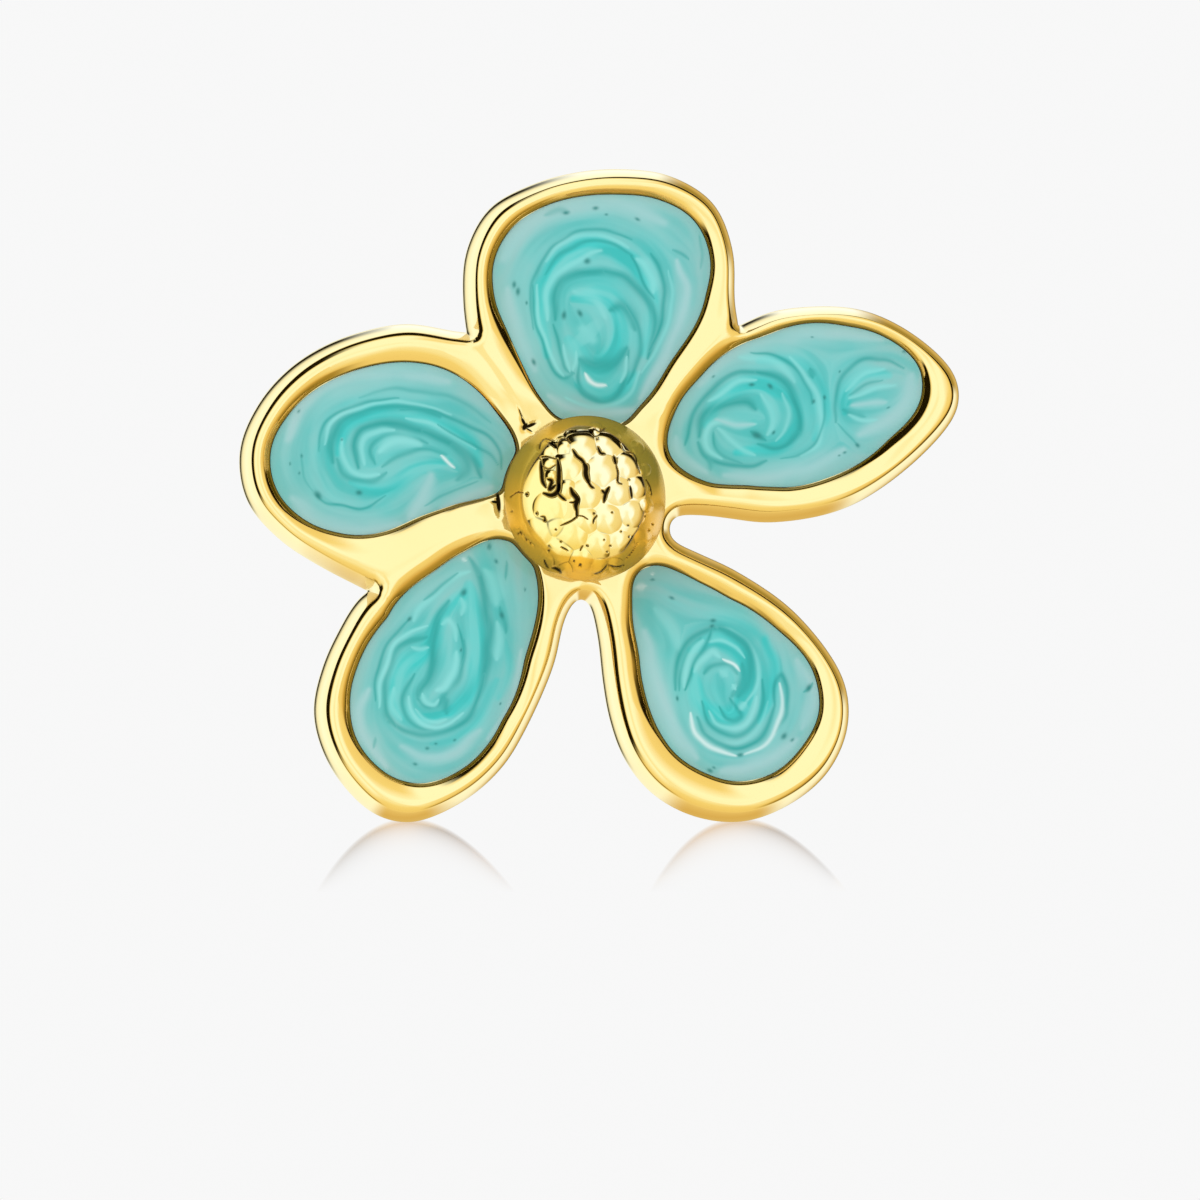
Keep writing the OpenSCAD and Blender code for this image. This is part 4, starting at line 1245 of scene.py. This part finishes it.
def crevices(flat):
    """How deep in a crevice each flat point of the dome is, from 0 to 1."""
    depth = np.zeros(len(flat))
    for width, *places in CREVICES:
        away, share = near_line(flat, open_curve(on_dome(np.reshape(places, (-1, 2))), CREVICE_STEPS))
        away = away * PX_PER_MM / (width * tapered(share, CREVICE_END))
        depth = np.maximum(depth, smooth_step(CREVICE_EDGE - away))
    for x, y, size in DOTS:
        away = np.linalg.norm(flat - on_dome((x, y)), axis=-1)
        depth = np.maximum(depth, smooth_step(CREVICE_EDGE - away * PX_PER_MM / size))
    return depth


def dome_patches():
    turns = np.arange(DOME_TURNS + 1) % DOME_TURNS * 360 / DOME_TURNS
    share = np.linspace(0, 1, DOME_RINGS + 1)
    radii = DOME_R * (share - RINGS_IN * share ** 6 * (1 - share))
    flat = radii[:, None, None] * unit(turns)
    points = dome_surface(flat)
    across = np.gradient(points, axis=0)
    around = np.roll(points[:, :-1], -1, 1) - np.roll(points[:, :-1], 1, 1)
    outward = np.cross(across[:, :-1], around)
    outward = np.concatenate([outward, outward[:, :1]], axis=1)
    outward[0] = (0, 0, 1)
    outward /= np.linalg.norm(outward, axis=-1, keepdims=True)
    spots = flat.reshape(-1, 2)
    fade = smooth_step((DOME_R - np.linalg.norm(spots, axis=1)) / DOME_FADE)
    rise = (pebble_rises(spots)[0] - GROOVE_DEPTH * crevices(spots)) * fade
    rows = list(points + rise.reshape(flat.shape[:2])[..., None] * outward)
    foot_z = SEAT_Z + DOME_GAP
    waist = points[-1]
    for s in np.arange(1, UNDER_RINGS + 1) / UNDER_RINGS:
        r = DOME_R - (DOME_R - DOME_FOOT_R) * s ** UNDER_CURVE
        rows.append(lifted(r * unit(turns), between(waist[:, 2], foot_z, s)))
    closing = fan_rows(np.array([0, 0, foot_z]), rows[-1])[::-1]
    inset = DOME_FLAT * np.exp(-(turned_from(turns, 0) / DOME_FLAT_REACH) ** 2)
    narrower = np.stack([1 - inset, 1 - inset, np.ones(len(turns))], -1)
    return [np.array(rows) * narrower, closing * narrower]


def dome_shades(points):
    """Attributes for the painted shade of the dome's crevices, of the seams of its pebbles and of the ring at
    its foot, for that ring, and for the painted side shade of its gold.
    """
    flat = points[:, :2]
    upper = points[:, 2] > SHADES_Z
    first, second = pebble_rises(flat)
    seams = smooth_step(1 - (first - second) / SEAM_H) * (second > 0)
    patchy = np.clip(SEAM_MEAN + SEAM_SPREAD * Cells(SEAM_SEED, SEAM_CELL).at(photo_px(points)), 0, 1)
    # Painted shade in the crevices and dots, and in seeded patches of the seams.
    crevice = np.maximum(crevices(flat), SEAM_SHADE * patchy * seams)
    turns = direction(flat)
    # Painted shade of the ring round the foot, by direction.
    shade = np.interp(turns, *np.array(RING_SHADE).T, period=360)
    starts = np.interp(turns, *np.array(RING_STARTS).T, period=360)
    ring = smooth_step((np.linalg.norm(flat, axis=1) - starts) / RING_EDGE + 0.5)
    # Painted side shade: none towards the upper right, growing across the dome to its lower left.
    side_shade = np.clip(SIDE_SHADE_MEAN - SIDE_SHADE_SLOPE * flat @ unit(PALE_TURN), 0, 1)
    return {"crevice": crevice * upper, "shaded": shade * ring * upper, "ring": ring, "side_shade": side_shade}


def post_patches():
    turns = np.linspace(0, 360, POST_STEPS + 1)
    bottom = POST_TOP - POST_STRAIGHT
    section = [(0, POST_TOP), (POST_R, POST_TOP), (POST_R, bottom)]
    for tilt in np.radians(np.arange(1, TIP_STEPS + 1) * 90 / TIP_STEPS):
        section.append((POST_R * math.cos(tilt), bottom - POST_R * math.sin(tilt)))
    return [np.array([lifted(r * unit(turns), z) for r, z in section])]


# Materials.

class Nodes:
    """Short ways to add shader nodes to a material or a world."""

    def __init__(self, owner):
        owner.use_nodes = True
        self.tree = owner.node_tree
        self.tree.nodes.clear()

    def add(self, kind, inputs=(), **settings):
        node = self.tree.nodes.new(kind)
        for key, value in settings.items():
            setattr(node, key, value)
        for key, value in dict(inputs).items():
            self.set(node.inputs[key], value)
        return node

    def set(self, socket, value):
        if isinstance(value, bpy.types.NodeSocket):
            self.tree.links.new(value, socket)
        else:
            socket.default_value = value

    def math(self, operation, *values, clamp=False):
        node = self.add("ShaderNodeMath", operation=operation, use_clamp=clamp)
        for socket, value in zip(node.inputs, values):
            self.set(socket, value)
        return node.outputs[0]

    def mix(self, share, a, b):
        """Colour a, turning to b as share goes from 0 to 1."""
        node = self.add("ShaderNodeMix", data_type="RGBA")
        for key, kind, value in (("Factor", "VALUE", share), ("A", "RGBA", a), ("B", "RGBA", b)):
            socket = [s for s in node.inputs if s.name == key and s.type == kind][0]
            self.set(socket, value)
        return [s for s in node.outputs if s.type == "RGBA"][0]

    def mix_shaders(self, share, a, b):
        return self.add("ShaderNodeMixShader", {0: share, 1: a, 2: b}).outputs[0]

    def dot(self, vector, axis):
        node = self.add("ShaderNodeVectorMath", {0: vector, 1: tuple(axis)}, operation="DOT_PRODUCT")
        return node.outputs["Value"]

    def path(self, kind):
        """1 where light reaches the place by this kind of ray, otherwise 0."""
        return self.add("ShaderNodeLightPath").outputs[kind]

    def ramp(self, angle, stops):
        """Colours at angles in degrees, where the socket goes from 0 to 1 over half a turn."""
        node = self.add("ShaderNodeValToRGB", {"Fac": angle})
        elements = node.color_ramp.elements
        while len(elements) < len(stops):
            elements.new(0.5)
        for element, (degrees, colour) in zip(elements, stops):
            element.position = degrees / 180
        for element, (degrees, colour) in zip(elements, stops):
            element.color = (*colour, 1)
        return node.outputs["Color"]

    def attribute(self, name):
        return self.add("ShaderNodeAttribute", attribute_name=name).outputs["Fac"]

    def millimetres(self):
        """Places on the object in millimetres."""
        metres = self.add("ShaderNodeTexCoord").outputs["Object"]
        node = self.add("ShaderNodeVectorMath", {0: metres, 1: (1 / MM,) * 3}, operation="MULTIPLY")
        return node.outputs[0]

    def noise(self, vector, scale, detail, roughness=0.5):
        inputs = {"Vector": vector, "Scale": scale, "Detail": detail, "Roughness": roughness}
        return self.add("ShaderNodeTexNoise", inputs).outputs["Fac"]

    def bump(self, height, distance, normal=None):
        inputs = {"Height": height, "Strength": 1.0, "Distance": distance}
        if normal is not None:
            inputs["Normal"] = normal
        return self.add("ShaderNodeBump", inputs).outputs["Normal"]

    def finish(self, shader, kind="ShaderNodeOutputMaterial"):
        self.add(kind, {"Surface": shader})


GOLD = (1.0, 0.78, 0.36, 1)
DEEP_GOLD = (0.96, 0.68, 0.24, 1)
# Near black painted shade for the dome's crevices, dots and seams and for the pits of the face.
PAINTED_SHADE = (0.012, 0.006, 0.001, 1)
# The dome's gold, painted pale as if lit.
PALE_GOLD = (1.0, 0.89, 0.6, 1)
# Painted shade of the ring round the dome's foot: a darker orange gold.
RING_SHADE_GOLD = (1.0, 0.55, 0.05, 1)
# Painted shade on the side of the dome away from the light: a warmer gold.
SIDE_SHADE_GOLD = (1.0, 0.78, 0.28, 1)
# Darker olive gold where the ring's painted shade is strongest.
SHADED_GOLD = (0.47, 0.36, 0.05, 1)
# Painted reflection: the less saturated gold that gold takes where it is seen in a reflection.
MIRRORED_GOLD = (0.92, 0.76, 0.42, 1)
# Scales of the noises, for each millimetre.
TONE_SCALE = 0.35
MARKS_SCALE = 9
ROUGH_SCALE = 2.2
DEEP_SHARE = 0.5
# Gold that is seen in other gold is blurred, and the ring round the dome's foot is partly satin.
MIRRORED_ROUGH = 0.4
RING_ROUGH = 0.17
RING_METAL = 0.4
GOLD_SPECULAR = 0.2
PIT_REACH_Z = 0.5
PIT_EDGE = 2.5
PIT_COVER = 3.2


def dark_pits(n, where):
    """How much the painted shade of the small pits of the face covers each place on the gold."""
    covered = 0.0
    upright = (FACE, PIT_REACH_Z * PX_PER_MM)
    for x, y, length, width, turn in PITS:
        across, up = flat_place((x, y)).tolist()
        middle = BACK_CENTRE / MM + across * RIGHT + up * UP + CREST_Z * FACE
        c, s = unit(turn).tolist()
        far = 0.0
        for axis, size in ((c * RIGHT + s * UP, length), (c * UP - s * RIGHT, width), upright):
            axis = axis * PX_PER_MM / size
            off = n.math("SUBTRACT", n.dot(where, axis), middle.dot(axis))
            far = n.math("MULTIPLY_ADD", off, off, far)
        spot = n.math("MULTIPLY_ADD", n.math("SQRT", far), -PIT_EDGE, PIT_COVER, clamp=True)
        covered = n.math("MAXIMUM", covered, spot)
    return covered


def gold(name, roughness, wave_mm, wave_depth, fine_depth, pits=False, ring=False):
    """Polished gold plating over a casting: faint waves, fine polishing marks and a slightly uneven tone,
    with a painted reflection colour where it is seen in a reflection. pits adds painted shade in the pits of
    the face; ring adds the dome's painted light and shade.
    """
    material = bpy.data.materials.new(name)
    n = Nodes(material)
    where = n.millimetres()
    tone = n.math("MULTIPLY", n.noise(where, TONE_SCALE, detail=2), DEEP_SHARE)
    # On the dome the base is pale gold, painted as if lit.
    colour = n.mix(tone, PALE_GOLD if ring else GOLD, DEEP_GOLD)
    if ring:
        # Painted side shade on the dome, away from the light.
        colour = n.mix(n.attribute("side_shade"), colour, SIDE_SHADE_GOLD)
        # Painted shade of the ring round the dome's foot, darker still where it is shaded.
        colour = n.mix(n.attribute("ring"), colour, RING_SHADE_GOLD)
        colour = n.mix(n.attribute("shaded"), colour, SHADED_GOLD)
        # Painted shade in the crevices, dots and seams.
        colour = n.mix(n.attribute("crevice"), colour, PAINTED_SHADE)
    # Painted shade in the small pits of the face.
    if pits:
        colour = n.mix(dark_pits(n, where), colour, PAINTED_SHADE)
    # Painted reflection: gold seen in a reflection takes a less saturated colour.
    mirrored = n.path("Is Glossy Ray")
    colour = n.mix(mirrored, colour, MIRRORED_GOLD)
    waves = n.bump(n.noise(where, 1 / wave_mm, detail=1), wave_depth * MM)
    fine = n.bump(n.noise(where, MARKS_SCALE, detail=4, roughness=0.6), fine_depth * MM, waves)
    rough = n.math("MULTIPLY_ADD", n.noise(where, ROUGH_SCALE, detail=4), roughness, roughness / 2)
    rough = n.math("MULTIPLY_ADD", mirrored, MIRRORED_ROUGH, rough)
    metal = 1.0
    if ring:
        rough = n.math("MULTIPLY_ADD", n.attribute("ring"), RING_ROUGH, rough)
        metal = n.math("MULTIPLY_ADD", n.attribute("ring"), RING_METAL - 1, 1.0)
    shader = n.add("ShaderNodeBsdfPrincipled", {
        "Base Color": colour, "Metallic": metal, "Roughness": rough, "Normal": fine,
        "Specular IOR Level": GOLD_SPECULAR,
    })
    n.finish(shader.outputs["BSDF"])
    return material


PALE = (0.27, 0.55, 0.53, 1)
TURQUOISE = (0.042, 0.59, 0.56, 1)
DEEP = (0.006, 0.345, 0.315, 1)
LIGHT = (0.27, 0.75, 0.72, 1)
GREY = (0.45, 0.68, 0.69, 1)
# WHITE also colours the few white strokes that are painted highlights.
WHITE = (0.72, 0.90, 0.88, 1)
SPECK = (0.004, 0.20, 0.18, 1)
# Painted reflection: the dark olive that enamel takes where it is seen in a reflection.
MIRRORED_ENAMEL = (0.13, 0.12, 0.015, 1)
# The deep body of the colour: how wide it spreads from the middle, and how clouds and streaks change it.
BODY_SPREAD = 0.6
BODY_POWER = 3.0
CLOUD_SCALE = 0.9
CLOUD = 0.5
CLOUD_MEAN = -0.2
BODY_STREAKS = 0.08
# How strong the broad and the fine streaks are, and how much of them shows in the body and beside it.
BROAD = 0.6
FINE = 0.2
STREAKS_IN_BODY = 0.3
STREAKS_BESIDE = 0.04
# How much of what is under them the strokes and specks cover.
PALE_COVER = 0.7
DARK_COVER = 0.82
DARK_UNEVEN = 0.05
LIGHT_COVER = 0.75
SPECK_COVER = 0.85
# The gloss: how rough it is, how much it mirrors, and its faint waves in millimetres.
ENAMEL_ROUGH = 0.05
ENAMEL_SPECULAR = 0.4
WAVE_SCALE = 0.8
WAVE_DEPTH = 0.02


def enamel():
    """Glossy turquoise enamel: pale at its edge, deep in the middle, with charted strokes and streaks, a few
    of them painted highlights, and a painted dark reflection colour where it is seen in a reflection.
    """
    material = bpy.data.materials.new("marbled_enamel")
    n = Nodes(material)
    where = n.millimetres()
    fine, broad = n.attribute("fine"), n.attribute("broad")
    cloud = n.math("MULTIPLY_ADD", n.noise(where, CLOUD_SCALE, detail=4), CLOUD, CLOUD_MEAN)
    outward = n.math("POWER", n.attribute("share"), BODY_POWER)
    wide = n.math("MULTIPLY_ADD", outward, -BODY_SPREAD, BODY_SPREAD)
    body = n.math("ADD", n.math("MAXIMUM", n.attribute("body"), wide), cloud)
    body = n.math("ADD", body, n.math("MULTIPLY", broad, BODY_STREAKS), clamp=True)
    streak = n.math("ADD", n.math("MULTIPLY", broad, BROAD), n.math("MULTIPLY", fine, FINE))
    strength = n.math("MULTIPLY_ADD", body, STREAKS_IN_BODY, STREAKS_BESIDE)
    colour = n.mix(body, PALE, TURQUOISE)
    for sign, shade in ((1.0, DEEP), (-1.0, LIGHT)):
        one_side = n.math("MULTIPLY", streak, sign, clamp=True)
        colour = n.mix(n.math("MULTIPLY", one_side, strength), colour, shade)
    dark_cover = n.math("MULTIPLY_ADD", fine, DARK_UNEVEN, DARK_COVER)
    for kind, cover, shade in (
        ("pale", PALE_COVER, GREY), ("dark", dark_cover, DEEP), ("light", LIGHT_COVER, LIGHT),
        ("white", 1.0, WHITE), ("speck", SPECK_COVER, SPECK),
    ):
        colour = n.mix(n.math("MULTIPLY", n.attribute(kind), cover), colour, shade)
    # Painted reflection: seen in a reflection, the enamel is dark olive.
    colour = n.mix(n.path("Is Glossy Ray"), colour, MIRRORED_ENAMEL)
    shader = n.add("ShaderNodeBsdfPrincipled", {
        "Base Color": colour, "Roughness": ENAMEL_ROUGH, "Specular IOR Level": ENAMEL_SPECULAR,
        "Normal": n.bump(n.noise(where, WAVE_SCALE, detail=1), WAVE_DEPTH * MM),
    })
    n.finish(shader.outputs["BSDF"])
    return material


# The pieces.

def make_flower_frame():
    sides = side_rows()
    back = sides[-1]
    patches = [closed_rows(sides)]
    for petal in NAMES:
        patches += petal_patches(petal, back) + web_patches(petal, back)
    material = gold(
        "polished_gold", roughness=0.06, wave_mm=2.5, wave_depth=0.010, fine_depth=0.0004, pits=True,
    )
    make_piece("flower_frame_polished", patches, material, "flower_frame")


def make_enamels():
    material = enamel()
    for petal in NAMES:
        make_piece(
            f"enamel_{petal}_marbled", enamel_patches(petal), material,
            f"enamel_{petal}", marbling(petal),
        )


def make_dome():
    material = gold(
        "pebbled_gold", roughness=0.07, wave_mm=1.2, wave_depth=0.006, fine_depth=0.0006, ring=True,
    )
    make_piece(
        "centre_dome_pebbled", dome_patches(), material, "centre_dome", dome_shades,
    )


def make_post():
    material = gold("post_gold", roughness=0.12, wave_mm=3.0, wave_depth=0.004, fine_depth=0.0006)
    make_piece("ear_post_wire", post_patches(), material, "ear_post")


# The stage: camera, surroundings and floor.

TOWARDS_CAMERA = (FACE - SEEN_FROM_LEFT * RIGHT - SEEN_FROM_BELOW * UP).normalized()
IMAGE_RIGHT = (RIGHT - RIGHT.dot(TOWARDS_CAMERA) * TOWARDS_CAMERA).normalized()
IMAGE_UP = TOWARDS_CAMERA.cross(IMAGE_RIGHT)


def make_camera():
    data = bpy.data.cameras.new("camera")
    data.sensor_width = SENSOR_MM
    data.lens = SENSOR_MM * CAMERA_DISTANCE * PX_PER_MM / (PHOTO_PX * MM)
    data.clip_start = 0.01
    data.clip_end = 10
    middle_px = PHOTO_PX / 2
    across = (middle_px - AXIS_PX[0]) / PX_PER_MM * MM
    down = (middle_px - AXIS_PX[1]) / PX_PER_MM * MM
    aim = BACK_CENTRE + across * IMAGE_RIGHT - down * IMAGE_UP
    camera = bpy.data.objects.new("camera", data)
    axes = Matrix((IMAGE_RIGHT, IMAGE_UP, TOWARDS_CAMERA)).transposed()
    camera.matrix_world = Matrix.Translation(aim + CAMERA_DISTANCE * TOWARDS_CAMERA) @ axes.to_4x4()
    bpy.context.scene.collection.objects.link(camera)
    bpy.context.scene.camera = camera


BACKGROUND = (0.936, 0.936, 0.936, 1)

# What the polished gold mirrors, in the directions fixed to the flower that a photographer's white tent and
# dark cards would fill: colours by the angle from the axis towards the camera, in degrees.
CREAM = (1.1, 1.25, 1.4)
BRIGHT = (1.0, 1.05, 0.9)
GOLDEN = (0.95, 0.87, 0.50)
HONEY = (0.90, 0.78, 0.40)
AMBER = (0.72, 0.52, 0.17)
BROWN = (0.38, 0.28, 0.06)
BLACK = (0.012, 0.008, 0.0)
PLAIN = (0.95, 0.95, 0.95)
ABOVE = [
    (0, BRIGHT), (14, CREAM), (60, CREAM), (67, BRIGHT), (71, GOLDEN), (74, BLACK), (99, BLACK), (102, PLAIN),
    (112, PLAIN), (120, CREAM), (160, CREAM), (174, GOLDEN), (180, HONEY),
]
RIGHT_SIDE = [
    (0, BRIGHT), (12, CREAM), (28, CREAM), (38, GOLDEN), (58, HONEY), (74, AMBER), (86, BROWN), (94, BLACK),
    (122, BLACK), (130, HONEY), (142, CREAM), (155, BRIGHT), (164, AMBER), (172, BROWN), (180, BLACK),
]
UPPER_RIGHT = [
    (0, BRIGHT), (12, CREAM), (24, CREAM), (42, GOLDEN), (68, HONEY), (78, BLACK), (118, BLACK), (126, HONEY),
    (134, BROWN), (152, BROWN), (164, AMBER), (180, BLACK),
]
LOW_SIDES = [
    (0, BRIGHT), (22, CREAM), (46, BRIGHT), (66, GOLDEN), (72, HONEY), (78, BROWN), (106, BROWN),
    (114, BRIGHT), (130, CREAM), (165, BRIGHT), (180, HONEY),
]
BELOW = [
    (0, BRIGHT), (22, BRIGHT), (50, GOLDEN), (86, HONEY), (125, HONEY), (150, AMBER), (180, AMBER),
]
LEFT_SIDE = [
    (0, BRIGHT), (14, CREAM), (40, CREAM), (50, GOLDEN), (54, BLACK), (93, BLACK), (97, GOLDEN),
    (104, BRIGHT), (112, CREAM), (142, CREAM), (150, BRIGHT), (156, BLACK), (162, BLACK), (166, BRIGHT),
    (180, GOLDEN),
]
# Each side after the first: its colours, which way it faces in the picture in degrees, and how far round from
# there it begins and has taken over.
SIDES = [
    (LOW_SIDES, -95, 76, 50), (BELOW, -92, 34, 18), (RIGHT_SIDE, -5, 62, 38), (UPPER_RIGHT, 40, 40, 22),
    (LEFT_SIDE, 158, 62, 44),
]
# Strength of the even light from all round.
SOFT_LIGHT = 0.8


def make_surroundings():
    """The tent and cards that the gold mirrors, an even light, and the plain ground that the camera sees."""
    world = bpy.data.worlds.new("surroundings")
    bpy.context.scene.world = world
    n = Nodes(world)
    ray = n.add("ShaderNodeTexCoord").outputs["Generated"]
    facing = n.dot(ray, TOWARDS_CAMERA)
    angle = n.math("DIVIDE", n.math("ARCCOSINE", facing), math.pi)
    beside = n.math("SQRT", n.math("SUBTRACT", 1.0001, n.math("MULTIPLY", facing, facing)))
    mirrored = n.ramp(angle, ABOVE)
    for stops, turn, begins, full in SIDES:
        x, y = unit(turn)
        share = n.math("DIVIDE", n.dot(ray, IMAGE_RIGHT * x + IMAGE_UP * y), beside)
        limits = {"From Min": math.cos(math.radians(begins)), "From Max": math.cos(math.radians(full))}
        side = n.add("ShaderNodeMapRange", {"Value": share, **limits}, interpolation_type="SMOOTHSTEP")
        mirrored = n.mix(side.outputs["Result"], mirrored, n.ramp(angle, stops))
    sharp = n.add("ShaderNodeBackground", {"Color": mirrored, "Strength": 1.0})
    soft = n.add("ShaderNodeBackground", {"Color": (1, 1, 1, 1), "Strength": SOFT_LIGHT})
    seen = n.add("ShaderNodeBackground", {"Color": BACKGROUND, "Strength": 1.0})
    lit = n.mix_shaders(n.path("Is Glossy Ray"), soft.outputs[0], sharp.outputs[0])
    n.finish(n.mix_shaders(n.path("Is Camera Ray"), lit, seen.outputs[0]), "ShaderNodeOutputWorld")


LAMP_DISTANCE = 0.4
FLOOR_SIZE = 0.6
FLOOR_GAP = 0.015
# The floor's shine in front of the two places where the lower petals stand on it: its strength and look,
# those places in millimetres, and how it begins there, bends round the petal and fades.
FLOOR_SHINE = 0.8
SHINE_TINT = (0.95, 0.70, 0.36, 1)
SHINE_ROUGH = 0.15
CONTACT_Y = -6.6
CONTACTS_X = (-5.3, 3.9)
SHINE_BEND = 0.44
SHINE_FADE = 0.5
SHINE_EDGE = 4.0
SHINE_START = 0.4
SHINE_END = 0.3


def make_light(name, side, up, power, size):
    """A soft square lamp in front of the flower, to one side of the camera's line, that isn't mirrored."""
    data = bpy.data.lights.new(name, "AREA")
    data.energy = power
    data.size = size
    lamp = bpy.data.objects.new(name, data)
    way = (TOWARDS_CAMERA + side * IMAGE_RIGHT + up * IMAGE_UP).normalized()
    turned = way.to_track_quat("Z", "Y").to_matrix().to_4x4()
    lamp.matrix_world = Matrix.Translation(BACK_CENTRE + LAMP_DISTANCE * way) @ turned
    lamp.visible_glossy = False
    bpy.context.scene.collection.objects.link(lamp)


def floor_look():
    """Plain ground that glows as the background does, with a shine right in front of the two contacts."""
    material = bpy.data.materials.new("floor")
    n = Nodes(material)
    glow = n.add("ShaderNodeEmission", {"Color": BACKGROUND, "Strength": 1.0})
    shine = n.add("ShaderNodeBsdfGlossy", {"Roughness": SHINE_ROUGH, "Color": SHINE_TINT})
    where = n.add("ShaderNodeSeparateXYZ", {0: n.millimetres()})
    front = n.math("SUBTRACT", CONTACT_Y, where.outputs["Y"])
    patch = 0.0
    for x in CONTACTS_X:
        side = n.math("SUBTRACT", where.outputs["X"], x)
        bent = n.math("MULTIPLY", n.math("MULTIPLY", side, side), SHINE_BEND)
        inside = n.math("SUBTRACT", front, bent)
        edge = n.math("MULTIPLY_ADD", inside, SHINE_EDGE, SHINE_START, clamp=True)
        fade = n.math("EXPONENT", n.math("DIVIDE", n.math("MAXIMUM", inside, 0.0), -SHINE_FADE))
        near = n.math("MULTIPLY_ADD", front, -SHINE_END, 1.0, clamp=True)
        patch = n.math("MAXIMUM", patch, n.math("MULTIPLY", n.math("MULTIPLY", edge, fade), near))
    share = n.math("MULTIPLY", patch, FLOOR_SHINE)
    n.finish(n.mix_shaders(share, glow.outputs[0], shine.outputs[0]))
    return material


def make_floor():
    mesh = bpy.data.meshes.new("floor")
    square = ((-1, -1), (1, -1), (1, 1), (-1, 1))
    corners = [(x * FLOOR_SIZE, y * FLOOR_SIZE, -FLOOR_GAP * MM) for x, y in square]
    mesh.from_pydata(corners, [], [(0, 1, 2, 3)])
    mesh.materials.append(floor_look())
    floor = bpy.data.objects.new("floor", mesh)
    floor.visible_glossy = False
    bpy.context.scene.collection.objects.link(floor)


def set_view():
    view = bpy.context.scene.view_settings
    view.view_transform = "Standard"
    view.look = "None"
    view.exposure = 0
    view.gamma = 1


make_flower_frame()
make_enamels()
make_dome()
make_post()
make_camera()
make_surroundings()
make_light("key", side=-0.6, up=0.7, power=0.5, size=0.3)
make_floor()
set_view()
